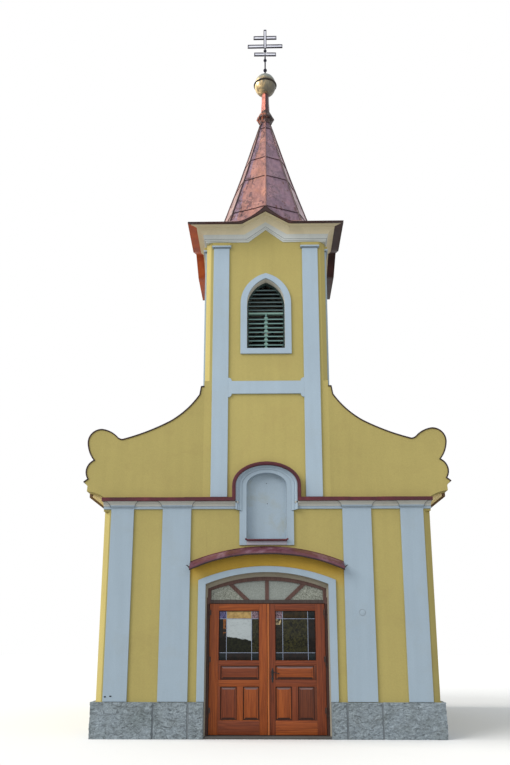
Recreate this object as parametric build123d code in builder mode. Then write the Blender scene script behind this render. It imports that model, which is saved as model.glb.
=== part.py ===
from build123d import *
import math
import os

os.makedirs("parts", exist_ok=True)

# Small chapel with a tower over its door. Millimetres, +Z up, ground level at Z = 0.
# X runs across the front, +Y runs from the front into the building.

# Nave plan and heights
NAVE_LENGTH = 6500
HALF_WIDTH = 2900
WALL = 450
KNEE_WALL = 300
CORNER_CUT = 110
BASE_TOP = 4050
CEILING_THICK = 200
FLOOR_THICK = 40
FRONT = -NAVE_LENGTH / 2
REAR = NAVE_LENGTH / 2
CEILING_Z = BASE_TOP - CEILING_THICK

# Plinth of rough stone blocks
PLINTH_TOP = 585
PLINTH_OUT = 70
PLINTH_STEP = 8
BLOCK_SPLIT_INNER = 1330
BLOCK_SPLIT_OUTER = 1910
BLOCK_JOINT = 12
JOINT_DEPTH = 30
PLINTH_EDGE = 10

# Doorway and its plaster surround
DOOR_HALF = 1060
REVEAL = 120
SILL_OUT = 30
SILL_EDGE = 8
TRANSOM_LOW = 2200
TRANSOM_HEIGHT = 60
TRANSOM_HIGH = TRANSOM_LOW + TRANSOM_HEIGHT
FANLIGHT_LEG = 260
DOOR_SPRING = TRANSOM_HIGH + FANLIGHT_LEG
FANLIGHT_RISE = 205
DOOR_CROWN = DOOR_SPRING + FANLIGHT_RISE
SURROUND_FACE = 130
SURROUND_HALF = DOOR_HALF + SURROUND_FACE
SURROUND_SPRING_UP = 70
SURROUND_SPRING = DOOR_SPRING + SURROUND_SPRING_UP
SURROUND_CROWN_UP = 104
SURROUND_CROWN = DOOR_CROWN + SURROUND_CROWN_UP
TRIM_OUT = 35

# Door frame and fanlight
FRAME_FACE = 60
FRAME_DEPTH = 110
STOP_WIDTH = 25
STOP_DEPTH = 30
STOP_BEHIND = 10
FAN_BAR = 64
FAN_BAR_SET = 15
FAN_BAR_DEPTH = 45
FAN_GLASS_SET = 36
FAN_BAR_FOOT = (277, 377)
FAN_BAR_HEAD = (644, 740)
FAN_BAR_RISE = 320
FAN_SIDE_FACE = 28
FAN_HEAD_FACE = 135
FAN_SPRING_DROP = 95

# Leaves
LEAF_TOP_GAP = 8
LEAF_SIDE_GAP = 8
LEAF_MEETING_GAP = 6
LEAF_FLOOR_GAP = 10
LEAF_THICK = 55
LEAF_SET = 5
OPENING_HALF = DOOR_HALF - FRAME_FACE
FAN_HALF = OPENING_HALF - FAN_SIDE_FACE
FAN_HEAD_SPRING = DOOR_SPRING - FAN_SPRING_DROP
FAN_HEAD_CROWN = DOOR_CROWN - FAN_HEAD_FACE
LEAF_OUTER = OPENING_HALF - LEAF_SIDE_GAP
LEAF_INNER = LEAF_MEETING_GAP / 2
LEAF_LOW = FLOOR_THICK + LEAF_FLOOR_GAP
LEAF_HIGH = TRANSOM_LOW - LEAF_TOP_GAP
MEETING_STILE = 134
GLASS_INNER = LEAF_INNER + MEETING_STILE
HANGING_STILE = 157
GLASS_OUTER = LEAF_OUTER - HANGING_STILE
GLASS_LOW = 1260
TOP_RAIL = 135
GLASS_HIGH = LEAF_HIGH - TOP_RAIL
GLASS_THICK = 8
GLASS_GROOVE = 10
PANEL_STILE_IN = 131
PANEL_INNER = LEAF_INNER + PANEL_STILE_IN
PANEL_STILE_OUT = 192
PANEL_OUTER = LEAF_OUTER - PANEL_STILE_OUT
MID_PANEL_LOW = 924
LOCK_RAIL = 96
MID_PANEL_HIGH = GLASS_LOW - LOCK_RAIL
LOW_PANEL_LOW = 276
LOWER_RAIL = 102
LOW_PANEL_HIGH = MID_PANEL_LOW - LOWER_RAIL
LOW_PANEL_SPLIT = (PANEL_INNER + PANEL_OUTER) / 2
LOW_PANEL_STILE = 100
PANEL_SUNK = 12
PANEL_FIELD_IN = 30
PANEL_FIELD_RISE = 8

# Hinges and handle
HINGE_R = 9
HINGE_LENGTH = 110
HINGE_OUT = 16
HINGE_WEB = 14
HINGE_HEIGHTS = (380, 1210, 1990)
PIN_R = 5
PIN_LENGTH = 90
GUDGEON_LENGTH = 60
GUDGEON_PLATE = 44
RUNNING = 0.3
STRAP_LENGTH = 26
STRAP_THICK = 5
STRAP_SHORTER = 10
PLATE_X = 87
PLATE_LOW = 888
PLATE_HIGH = 1116
PLATE_WIDTH = 44
PLATE_CORNER = 12
PLATE_THICK = 6
LEVER_Z = 1040
LEVER_LENGTH = 125
GRIP_WIDE = 24
GRIP_THICK = 14
SPINDLE_R = 9
SPINDLE_HOLE_R = 15
LEVER_OUT = 50

# Front pilasters and cornice
OUTER_PILASTER = (HALF_WIDTH - 543, HALF_WIDTH - 140)
INNER_PILASTER = (1338, 1843)
CORNICE_DROP = 250
CORNICE_LOW = BASE_TOP - CORNICE_DROP
CORNICE_HEIGHT = 165
CORNICE_HIGH = CORNICE_LOW + CORNICE_HEIGHT
PILASTER_LAP = 50
PILASTER_TOP = CORNICE_LOW + PILASTER_LAP
CORNICE_OUT = 85
CORNICE_FILLET = 28
CORNICE_NECK = 40
ARCHIVOLT_LESS = 30
CAPITAL_STEPS = ((0, 0), (22, 18), (34, 20), (92, 66), (115, 74))
BAND_OUT = 130
BAND_HEIGHT = 87
BAND_TOP = CORNICE_HIGH + BAND_HEIGHT
BAND_FALL = 20
BAND_END = 20
BAND_HALF = HALF_WIDTH + BAND_END

# Niche over the door and the moulding that arches round it
NICHE_HALF = 355
NICHE_SPRING_UP = 205
NICHE_SPRING = BASE_TOP + NICHE_SPRING_UP
NICHE_LEG = 950
NICHE_LOW = NICHE_SPRING - NICHE_LEG
NICHE_RISE = 231
NICHE_CROWN = NICHE_SPRING + NICHE_RISE
NICHE_DEPTH = 90
NICHE_TRIM = 125
NICHE_TRIM_HALF = NICHE_HALF + NICHE_TRIM
NICHE_TRIM_BELOW = 112
NICHE_TRIM_LOW = NICHE_LOW - NICHE_TRIM_BELOW
NICHE_BORDER = 85
ARCHIVOLT_IN = NICHE_HALF + NICHE_BORDER
ARCHIVOLT_RISE = 295
ARCHIVOLT_IN_CROWN = NICHE_SPRING + ARCHIVOLT_RISE
ARCHIVOLT_FACE = 90
BAND_ARCH_IN = ARCHIVOLT_IN + ARCHIVOLT_FACE
BAND_IN_RISE = 345
BAND_ARCH_IN_CROWN = NICHE_SPRING + BAND_IN_RISE
BAND_FACE = 80
BAND_ARCH_OUT = BAND_ARCH_IN + BAND_FACE
BAND_OUT_RISE = 420
BAND_ARCH_OUT_CROWN = NICHE_SPRING + BAND_OUT_RISE
NICHE_SILL_END = 15
NICHE_SILL_HALF = NICHE_HALF + NICHE_SILL_END
NICHE_SILL_DROP = 4
NICHE_SILL_HIGH = NICHE_LOW - NICHE_SILL_DROP
NICHE_SILL_HEIGHT = 39
NICHE_SILL_LOW = NICHE_SILL_HIGH - NICHE_SILL_HEIGHT
NICHE_SILL_OUT = 90

# Sheet metal hood over the door
HOOD_HALF = 1338
HOOD_GAP = 71
HOOD_WALL_END = SURROUND_CROWN + HOOD_GAP
HOOD_WALL_RISE = 262
HOOD_WALL_CROWN = HOOD_WALL_END + HOOD_WALL_RISE
HOOD_FALL = 140
HOOD_LIP_END = HOOD_WALL_END - HOOD_FALL
HOOD_LIP_RISE = 270
HOOD_LIP_CROWN = HOOD_LIP_END + HOOD_LIP_RISE
HOOD_OUT = 210
HOOD_THICK = 40

# Tower plan: deeper than it is wide
TOWER_HALF = 1145
TOWER_DEEP = 1365
TOWER_WALL = 300
TOWER_MID_Y = FRONT + TOWER_DEEP

# Nave roof and eaves
ROOF_PITCH = 37
ROOF_THICK = 120
EAVE_REACH = 280
EAVE_X = HALF_WIDTH + EAVE_REACH
EAVE_RISE = 100
EAVE_Z = BASE_TOP + EAVE_RISE
EAVE_OVER = 60
EAVES_DROP = 170
EAVES_LOW = BASE_TOP - EAVES_DROP
EAVES_FILLET = 30
EAVES_LIP = 40
VERGE_OVER = 150
SLOPE = math.tan(math.radians(ROOF_PITCH))
ROOF_RISE = ROOF_THICK / math.cos(math.radians(ROOF_PITCH))
RIDGE_UNDER = EAVE_Z + EAVE_X * SLOPE
RIDGE_CAP_HALF = 130
RIDGE_CAP_THICK = 30

# Scrolled gable wings
ROOF_AT_TOWER = RIDGE_UNDER + ROOF_RISE - TOWER_HALF * SLOPE
WING_OVER_ROOF = 286
WING_TOP = ROOF_AT_TOWER + WING_OVER_ROOF
COPING_THICK = 22
COPING_OVER = 15
COPING_FOOT_UP = 280
COPING_FOOT = BASE_TOP + COPING_FOOT_UP

# Side windows
SIDE_WIN_HALF = 350
SIDE_WIN_LOW = 1500
SIDE_WIN_LEG = 1100
SIDE_WIN_SPRING = SIDE_WIN_LOW + SIDE_WIN_LEG
SIDE_WIN_RISE = 510
SIDE_WIN_CROWN = SIDE_WIN_SPRING + SIDE_WIN_RISE
SIDE_WIN_SET = 130
SIDE_WIN_FRAME = 50
SIDE_WIN_POINT = 65
SIDE_WIN_DEPTH = 60
SIDE_WIN_TRIM = 135
SIDE_WIN_BAR = 40
SIDE_WIN_LOWER_LEG = 530
SIDE_WIN_LOWER_BAR = SIDE_WIN_LOW + SIDE_WIN_LOWER_LEG
SIDE_WIN_THIN_BAR = 30
SIDE_GLASS_SET = 26
SIDE_GLASS_IN = 8

# Tower faces
CORNER_STRIP = 143
TOWER_PILASTER_WIDTH = 300
TOWER_CAP_HEIGHT = 60
TOWER_CAP_OUT = 22
CROSS_BAND_DROP = 140
CROSS_BAND_LOW = WING_TOP - CROSS_BAND_DROP
CROSS_BAND_HEIGHT = 245
CROSS_BAND_HIGH = CROSS_BAND_LOW + CROSS_BAND_HEIGHT
CROSS_BAND_CORNER = 65
TOWER_CUT = 90
TOWER_CUT_GAP = 15
TOWER_CUT_FROM = CROSS_BAND_HIGH + TOWER_CUT_GAP
ROOF_GAP = 20
SIDE_PILASTER_FOOT = ROOF_AT_TOWER + ROOF_GAP
REAR_PILASTER_FOOT = (
    RIDGE_UNDER
    + ROOF_RISE
    - (TOWER_HALF - CORNER_STRIP - TOWER_PILASTER_WIDTH) * SLOPE
    + ROOF_GAP
    + RIDGE_CAP_THICK
)

# Tower windows
WIN_HALF = 358
WIN_OVER_BAND = 650
WIN_LOW = CROSS_BAND_HIGH + WIN_OVER_BAND
WIN_LEG = 915
WIN_SPRING = WIN_LOW + WIN_LEG
WIN_RISE = 515
WIN_CROWN = WIN_SPRING + WIN_RISE
WIN_TRIM = 122
WIN_TRIM_BELOW = 110
WIN_TRIM_ABOVE = 105
LOUVRE_SET = 165
LOUVRE_DEPTH = 90
LOUVRE_FRAME = 34
LOUVRE_POINT = 44
LOUVRE_TRANSOM_DROP = 90
LOUVRE_TRANSOM = WIN_SPRING - LOUVRE_TRANSOM_DROP
LOUVRE_SLAT = 14
LOUVRE_SLAT_SET = 20
LOUVRE_SLAT_DEPTH = 40
LOUVRE_PITCH = 85
WALL_OVER_WIN = 775
TOWER_TOP = WIN_CROWN + WALL_OVER_WIN
TOWER_CAP_DROP = 90
TOWER_PILASTER_TOP = TOWER_TOP - TOWER_CAP_DROP

# Tower cornice, which rises to a point in the middle of each side
COVE_HEIGHT = 225
COVE_OUT = 190
COVE_STEPS = 7
COVE_TOP = TOWER_TOP + COVE_HEIGHT
GABLET_RISE = 265
GABLET_LEFT_OVER = 20
GABLET_FEET_LOW = (335, 430, 335, 430)
GABLET_FEET_HIGH = (460, 585, 460, 585)

# Eaves with a curved gablet on each side, and the skirt up to the spire
EAVES_OVER = 345
EAVES_HALF = TOWER_HALF + EAVES_OVER
EAVES_DEEP = TOWER_DEEP + EAVES_OVER
EAVES_THICK = 35
EAVES_TOP = COVE_TOP + EAVES_THICK
GABLET_HALVES = (550, 700, 550, 700)
GABLET_HEIGHT = 345
GABLET_SAG = 112
GABLET_FOOT_DROP = 5
SKIRT_HEIGHT = 360
SKIRT_TOP = EAVES_TOP + SKIRT_HEIGHT
SKIRT_SHARE = 0.72

# Spire, a little steeper above its bend
SPIRE_FOOT_R = 1105
SPIRE_BEND_R = 533
SPIRE_TOP_R = 110
SPIRE_LOWER_HEIGHT = 1665
SPIRE_BEND = SKIRT_TOP + SPIRE_LOWER_HEIGHT
SPIRE_UPPER_HEIGHT = 1400
SPIRE_TOP = SPIRE_BEND + SPIRE_UPPER_HEIGHT
SHEET = 60

# Collar, neck, ball and cross
COLLAR_R = 200
COLLAR_FLARE = 70
COLLAR_STEP = 170
COLLAR_CAP = 60
COLLAR_HEIGHT = 325
COLLAR_TOP = SPIRE_TOP + COLLAR_HEIGHT
NECK_HEIGHT = 514
NECK_TOP = COLLAR_TOP + NECK_HEIGHT
NECK_FOOT_R = 90
NECK_TOP_R = 68
BALL_R = 250
BALL_SEAT = 30
BALL_Z = NECK_TOP + BALL_R - BALL_SEAT
BALL_RING = 14
BALL_RING_HEIGHT = 24
BALL_NIB_R = 60
BALL_NIB_TOP_R = 40
CROSS_SEAT = 10
CROSS_IN = 20
CROSS_FOOT = BALL_Z + BALL_R - CROSS_SEAT
CROSS_HEIGHT = 1252
CROSS_TOP = CROSS_FOOT + CROSS_HEIGHT
CROSS_BAR = 50
CROSS_ARMS = ((582, 253), (802, 402), (1037, 266))
KNOB_RISES = (146, 418, 678)
KNOB_R = 42

# Planes: sketches on FACADE read as X and Z, and a positive extrusion comes out of the wall
FACADE = Plane(origin=(0, FRONT, 0), x_dir=(1, 0, 0), z_dir=(0, -1, 0))
REAR_FACE = Plane(origin=(0, REAR, 0), x_dir=(-1, 0, 0), z_dir=(0, 1, 0))
TOWER_FACES = (
    Plane(origin=(0, FRONT, 0), x_dir=(1, 0, 0), z_dir=(0, -1, 0)),
    Plane(origin=(TOWER_HALF, TOWER_MID_Y, 0), x_dir=(0, 1, 0), z_dir=(1, 0, 0)),
    Plane(origin=(0, TOWER_MID_Y + TOWER_DEEP, 0), x_dir=(-1, 0, 0), z_dir=(0, 1, 0)),
    Plane(origin=(-TOWER_HALF, TOWER_MID_Y, 0), x_dir=(0, -1, 0), z_dir=(-1, 0, 0)),
)
TOWER_FACE_HALVES = (TOWER_HALF, TOWER_DEEP, TOWER_HALF, TOWER_DEEP)
SIDE_FACES = (
    Plane(origin=(HALF_WIDTH, 0, 0), x_dir=(0, 1, 0), z_dir=(1, 0, 0)),
    Plane(origin=(-HALF_WIDTH, 0, 0), x_dir=(0, -1, 0), z_dir=(-1, 0, 0)),
)
LOW_LEFT = (Align.MIN, Align.MIN)
LOW_CORNER = (Align.MIN, Align.MIN, Align.MIN)
FOOT = (Align.CENTER, Align.MIN)


def rect(x0, z0, x1, z1, mode=Mode.ADD):
    """Rectangle between two corners of the current sketch."""
    with Locations((min(x0, x1), min(z0, z1))):
        Rectangle(abs(x1 - x0), abs(z1 - z0), align=LOW_LEFT, mode=mode)


def arched(half, foot, spring, crown, mode=Mode.ADD):
    """Opening outline with a flat segmental head."""
    with BuildLine() as outline:
        Polyline((-half, spring), (-half, foot), (half, foot), (half, spring))
        ThreePointArc((half, spring), (0, crown), (-half, spring))
    make_face(outline.edges(), mode=mode)


def pointed(half, foot, spring, crown, mode=Mode.ADD):
    """Opening outline with a pointed head."""
    with BuildLine() as outline:
        Polyline((-half, spring), (-half, foot), (half, foot), (half, spring))
        TangentArc((half, spring), (0, crown), tangent=(0, 1))
        TangentArc((-half, spring), (0, crown), tangent=(0, 1))
    make_face(outline.edges(), mode=mode)


def rounded(half, foot, spring, crown, mode=Mode.ADD):
    """Outline with straight legs and an oval head."""
    with Locations((0, spring)):
        Ellipse(half, crown - spring, mode=mode)
    with Locations((0, foot)):
        Rectangle(2 * half, spring - foot, align=FOOT, mode=mode)


def roof_under(x):
    """Height of the underside of the nave roof at a distance from the ridge."""
    return EAVE_Z + (EAVE_X - abs(x)) * SLOPE


def wing_face(mode=Mode.ADD):
    """Scrolled outline of the right gable wing, set from its outer foot and from the tower."""
    outer = HALF_WIDTH
    foot = BASE_TOP
    inner = TOWER_HALF
    with BuildLine() as outline:
        Line((inner, foot), (outer, foot))
        ThreePointArc((outer, foot), (outer + 170, foot + 85), (outer + 325, foot + 115))
        Line((outer + 325, foot + 115), (outer + 320, foot + 210))
        Line((outer + 320, foot + 210), (outer + 375, foot + 280))
        Line((outer + 375, foot + 280), (outer + 300, foot + 340))
        ThreePointArc((outer + 300, foot + 340), (outer + 338, foot + 520), (outer + 200, foot + 680))
        ThreePointArc((outer + 200, foot + 680), (outer + 295, foot + 835), (outer + 335, foot + 1010))
        ThreePointArc((outer + 335, foot + 1010), (outer + 265, foot + 1190), (outer + 110, foot + 1253))
        ThreePointArc((outer + 110, foot + 1253), (outer - 32, foot + 1212), (outer - 160, foot + 1122))
        ThreePointArc((outer - 160, foot + 1122), (outer - 212, foot + 1078), (outer - 275, foot + 1060))
        ThreePointArc((outer - 275, foot + 1060), (outer - 735, foot + 1212), (outer - 1140, WING_TOP - 670))
        ThreePointArc(
            (outer - 1140, WING_TOP - 670),
            (inner + 313, WING_TOP - 442),
            (inner + 70, WING_TOP - 150),
        )
        Line((inner + 70, WING_TOP - 150), (inner + 45, WING_TOP))
        Line((inner + 45, WING_TOP), (inner, WING_TOP))
        Line((inner, WING_TOP), (inner, foot))
    make_face(outline.edges(), mode=mode)


# Floor and threshold
with BuildPart() as floor_slab:
    with Locations((0, 0, 0)):
        Box(
            2 * (HALF_WIDTH - WALL),
            NAVE_LENGTH - 2 * WALL,
            FLOOR_THICK,
            align=(Align.CENTER, Align.CENTER, Align.MIN),
        )
floor_slab.part.label = "floor_slab"
export_step(floor_slab.part, "parts/floor_slab.step")

with BuildPart() as door_sill:
    with Locations((0, FRONT - SILL_OUT, 0)):
        Box(2 * DOOR_HALF, WALL + SILL_OUT, FLOOR_THICK, align=(Align.CENTER, Align.MIN, Align.MIN))
    chamfer(door_sill.faces().sort_by(Axis.Y)[0].edges().sort_by(Axis.Z)[-1], SILL_EDGE)
door_sill.part.label = "door_sill"
export_step(door_sill.part, "parts/door_sill.step")

# Plinth: three blocks on each side of the door, then the sides and the rear
with BuildPart() as plinth_front_left:
    with BuildSketch():
        rect(-HALF_WIDTH - PLINTH_OUT, FRONT - PLINTH_OUT, -BLOCK_SPLIT_OUTER - BLOCK_JOINT / 2, FRONT)
        rect(-BLOCK_SPLIT_OUTER - BLOCK_JOINT, FRONT - PLINTH_OUT + JOINT_DEPTH, -DOOR_HALF, FRONT)
        rect(
            -BLOCK_SPLIT_OUTER + BLOCK_JOINT / 2,
            FRONT - PLINTH_OUT + PLINTH_STEP,
            -BLOCK_SPLIT_INNER - BLOCK_JOINT / 2,
            FRONT,
        )
        rect(-BLOCK_SPLIT_INNER + BLOCK_JOINT / 2, FRONT - PLINTH_OUT, -DOOR_HALF, FRONT)
    extrude(amount=PLINTH_TOP)
    chamfer(plinth_front_left.faces().sort_by(Axis.Z)[-1].edges().sort_by(Axis.Y)[0], PLINTH_EDGE)
plinth_front_left.part.label = "plinth_front_left"
export_step(plinth_front_left.part, "parts/plinth_front_left.step")

with BuildPart() as plinth_front_right:
    mirror(plinth_front_left.part, about=Plane.YZ)
plinth_front_right.part.label = "plinth_front_right"
export_step(plinth_front_right.part, "parts/plinth_front_right.step")

with BuildPart() as plinth_nave:
    with BuildSketch():
        rect(-HALF_WIDTH - PLINTH_OUT, FRONT, HALF_WIDTH + PLINTH_OUT, REAR + PLINTH_OUT)
        rect(-HALF_WIDTH, FRONT, HALF_WIDTH, REAR, mode=Mode.SUBTRACT)
    extrude(amount=PLINTH_TOP)
plinth_nave.part.label = "plinth_nave"
export_step(plinth_nave.part, "parts/plinth_nave.step")

# Front wall: one piece on each side of the doorway and one over it
with BuildPart() as front_wall_left:
    with BuildSketch(FACADE):
        rect(-HALF_WIDTH, 0, -DOOR_HALF, BASE_TOP)
    extrude(amount=-WALL)
    with BuildSketch(Plane.XY.offset(CEILING_Z)):
        rect(-HALF_WIDTH + KNEE_WALL, FRONT + KNEE_WALL, 0, FRONT + WALL)
    extrude(amount=CEILING_THICK, mode=Mode.SUBTRACT)
    with BuildSketch(Plane.XY.offset(PLINTH_TOP)):
        with BuildLine():
            Polyline(
                (-HALF_WIDTH, FRONT),
                (-HALF_WIDTH + CORNER_CUT, FRONT),
                (-HALF_WIDTH, FRONT + CORNER_CUT),
                close=True,
            )
        make_face()
    extrude(amount=CORNICE_LOW - PLINTH_TOP, mode=Mode.SUBTRACT)
front_wall_left.part.label = "front_wall_left"
export_step(front_wall_left.part, "parts/front_wall_left.step")

with BuildPart() as front_wall_right:
    mirror(front_wall_left.part, about=Plane.YZ)
front_wall_right.part.label = "front_wall_right"
export_step(front_wall_right.part, "parts/front_wall_right.step")

with BuildPart() as front_wall_over_door:
    with BuildSketch(FACADE):
        rect(-DOOR_HALF, TRANSOM_LOW, DOOR_HALF, BASE_TOP)
        arched(DOOR_HALF, 0, DOOR_SPRING, DOOR_CROWN, mode=Mode.SUBTRACT)
    extrude(amount=-WALL)
    with BuildSketch(FACADE):
        rounded(NICHE_HALF, NICHE_LOW, NICHE_SPRING, NICHE_CROWN)
    extrude(amount=-NICHE_DEPTH, mode=Mode.SUBTRACT)
    with BuildSketch(Plane.XY.offset(CEILING_Z)):
        rect(-DOOR_HALF, FRONT + KNEE_WALL, DOOR_HALF, FRONT + WALL)
    extrude(amount=CEILING_THICK, mode=Mode.SUBTRACT)
front_wall_over_door.part.label = "front_wall_over_door"
export_step(front_wall_over_door.part, "parts/front_wall_over_door.step")

# Side walls, with a pointed window in the middle of each
with BuildPart() as side_wall_right:
    with BuildSketch(Plane(origin=(0, FRONT + WALL, 0), x_dir=(1, 0, 0), z_dir=(0, -1, 0))):
        with BuildLine():
            Polyline(
                (HALF_WIDTH - WALL, 0),
                (HALF_WIDTH, 0),
                (HALF_WIDTH, roof_under(HALF_WIDTH)),
                (HALF_WIDTH - KNEE_WALL, roof_under(HALF_WIDTH - KNEE_WALL)),
                (HALF_WIDTH - KNEE_WALL, CEILING_Z),
                (HALF_WIDTH - WALL, CEILING_Z),
                close=True,
            )
        make_face()
    extrude(amount=-(NAVE_LENGTH - 2 * WALL))
    with BuildSketch(SIDE_FACES[0]):
        pointed(SIDE_WIN_HALF, SIDE_WIN_LOW, SIDE_WIN_SPRING, SIDE_WIN_CROWN)
    extrude(amount=-WALL, mode=Mode.SUBTRACT)
side_wall_right.part.label = "side_wall_right"
export_step(side_wall_right.part, "parts/side_wall_right.step")

with BuildPart() as side_wall_left:
    mirror(side_wall_right.part, about=Plane.YZ)
side_wall_left.part.label = "side_wall_left"
export_step(side_wall_left.part, "parts/side_wall_left.step")

# Rear wall with its plain gable
with BuildPart() as rear_wall:
    with BuildSketch(REAR_FACE):
        with BuildLine():
            Polyline(
                (-HALF_WIDTH, 0),
                (HALF_WIDTH, 0),
                (HALF_WIDTH, roof_under(HALF_WIDTH)),
                (0, roof_under(0)),
                (-HALF_WIDTH, roof_under(HALF_WIDTH)),
                close=True,
            )
        make_face()
    extrude(amount=-WALL)
    with BuildSketch(Plane.XY.offset(CEILING_Z)):
        rect(-HALF_WIDTH + KNEE_WALL, REAR - WALL, HALF_WIDTH - KNEE_WALL, REAR - KNEE_WALL)
    extrude(amount=RIDGE_UNDER, mode=Mode.SUBTRACT)
    with BuildSketch(Plane.XY.offset(PLINTH_TOP)):
        with Locations((-HALF_WIDTH, REAR), (HALF_WIDTH, REAR)):
            Rectangle(CORNER_CUT * math.sqrt(2), CORNER_CUT * math.sqrt(2), rotation=45)
    extrude(amount=CORNICE_LOW - PLINTH_TOP, mode=Mode.SUBTRACT)
rear_wall.part.label = "rear_wall"
export_step(rear_wall.part, "parts/rear_wall.step")

# Ceiling slab: it carries three walls of the tower
with BuildPart() as ceiling_slab:
    with BuildSketch(Plane.XY.offset(CEILING_Z)):
        rect(-HALF_WIDTH + KNEE_WALL, FRONT + KNEE_WALL, HALF_WIDTH - KNEE_WALL, REAR - KNEE_WALL)
    extrude(amount=CEILING_THICK)
ceiling_slab.part.label = "ceiling_slab"
export_step(ceiling_slab.part, "parts/ceiling_slab.step")

# Gable wings: scrolled outline from the side of the tower to the end lobes
with BuildPart() as gable_wing_right:
    with BuildSketch(FACADE):
        wing_face()
    extrude(amount=-KNEE_WALL)
gable_wing_right.part.label = "gable_wing_right"
export_step(gable_wing_right.part, "parts/gable_wing_right.step")

with BuildPart() as gable_wing_left:
    mirror(gable_wing_right.part, about=Plane.YZ)
gable_wing_left.part.label = "gable_wing_left"
export_step(gable_wing_left.part, "parts/gable_wing_left.step")

# Sheet metal coping along the scrolled edges
with BuildPart() as gable_coping_right:
    with BuildSketch(FACADE.offset(COPING_OVER)):
        wing_face()
        offset(amount=COPING_THICK)
        wing_face(mode=Mode.SUBTRACT)
        rect(0, BASE_TOP - 100, TOWER_HALF, WING_TOP + 100, mode=Mode.SUBTRACT)
        rect(TOWER_HALF, BASE_TOP - 100, EAVE_X + 200, COPING_FOOT, mode=Mode.SUBTRACT)
    extrude(amount=-(KNEE_WALL + 2 * COPING_OVER))
gable_coping_right.part.label = "gable_coping_right"
export_step(gable_coping_right.part, "parts/gable_coping_right.step")

with BuildPart() as gable_coping_left:
    mirror(gable_coping_right.part, about=Plane.YZ)
gable_coping_left.part.label = "gable_coping_left"
export_step(gable_coping_left.part, "parts/gable_coping_left.step")

# Tower walls: the front and rear ones run the full width and carry the corner cuts
with BuildPart() as tower_wall_front:
    with BuildSketch(FACADE):
        rect(-TOWER_HALF, BASE_TOP, TOWER_HALF, TOWER_TOP)
        pointed(WIN_HALF, WIN_LOW, WIN_SPRING, WIN_CROWN, mode=Mode.SUBTRACT)
    extrude(amount=-TOWER_WALL)
    with BuildSketch(FACADE):
        rounded(NICHE_HALF, NICHE_LOW, NICHE_SPRING, NICHE_CROWN)
    extrude(amount=-NICHE_DEPTH, mode=Mode.SUBTRACT)
    with BuildSketch(Plane.XY.offset(TOWER_CUT_FROM)):
        with Locations((-TOWER_HALF, FRONT), (TOWER_HALF, FRONT)):
            Rectangle(TOWER_CUT * math.sqrt(2), TOWER_CUT * math.sqrt(2), rotation=45)
    extrude(amount=TOWER_TOP - TOWER_CUT_FROM, mode=Mode.SUBTRACT)
tower_wall_front.part.label = "tower_wall_front"
export_step(tower_wall_front.part, "parts/tower_wall_front.step")

with BuildPart() as tower_wall_rear:
    with BuildSketch(TOWER_FACES[2]):
        rect(-TOWER_HALF, BASE_TOP, TOWER_HALF, TOWER_TOP)
        pointed(WIN_HALF, WIN_LOW, WIN_SPRING, WIN_CROWN, mode=Mode.SUBTRACT)
    extrude(amount=-TOWER_WALL)
    with BuildSketch(Plane.XY.offset(TOWER_CUT_FROM)):
        with Locations((-TOWER_HALF, TOWER_MID_Y + TOWER_DEEP), (TOWER_HALF, TOWER_MID_Y + TOWER_DEEP)):
            Rectangle(TOWER_CUT * math.sqrt(2), TOWER_CUT * math.sqrt(2), rotation=45)
    extrude(amount=TOWER_TOP - TOWER_CUT_FROM, mode=Mode.SUBTRACT)
tower_wall_rear.part.label = "tower_wall_rear"
export_step(tower_wall_rear.part, "parts/tower_wall_rear.step")

with BuildPart() as tower_wall_right:
    with BuildSketch(TOWER_FACES[1]):
        rect(-TOWER_DEEP + TOWER_WALL, BASE_TOP, TOWER_DEEP - TOWER_WALL, TOWER_TOP)
        pointed(WIN_HALF, WIN_LOW, WIN_SPRING, WIN_CROWN, mode=Mode.SUBTRACT)
    extrude(amount=-TOWER_WALL)
tower_wall_right.part.label = "tower_wall_right"
export_step(tower_wall_right.part, "parts/tower_wall_right.step")

with BuildPart() as tower_wall_left:
    mirror(tower_wall_right.part, about=Plane.YZ)
tower_wall_left.part.label = "tower_wall_left"
export_step(tower_wall_left.part, "parts/tower_wall_left.step")

# Nave roof slopes, cut round the tower
with BuildPart() as nave_roof_right:
    with BuildSketch(Plane(origin=(0, FRONT + KNEE_WALL, 0), x_dir=(1, 0, 0), z_dir=(0, -1, 0))):
        with BuildLine():
            Polyline(
                (0, RIDGE_UNDER),
                (EAVE_X + EAVE_OVER, roof_under(EAVE_X + EAVE_OVER)),
                (EAVE_X + EAVE_OVER, roof_under(EAVE_X + EAVE_OVER) + ROOF_RISE),
                (0, RIDGE_UNDER + ROOF_RISE),
                close=True,
            )
        make_face()
    extrude(amount=-(NAVE_LENGTH - KNEE_WALL + VERGE_OVER))
    with BuildSketch(Plane.XY.offset(BASE_TOP)):
        rect(-TOWER_HALF, FRONT, TOWER_HALF, FRONT + 2 * TOWER_DEEP)
    extrude(amount=TOWER_TOP - BASE_TOP, mode=Mode.SUBTRACT)
nave_roof_right.part.label = "nave_roof_right"
export_step(nave_roof_right.part, "parts/nave_roof_right.step")

with BuildPart() as nave_roof_left:
    mirror(nave_roof_right.part, about=Plane.YZ)
nave_roof_left.part.label = "nave_roof_left"
export_step(nave_roof_left.part, "parts/nave_roof_left.step")

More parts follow.
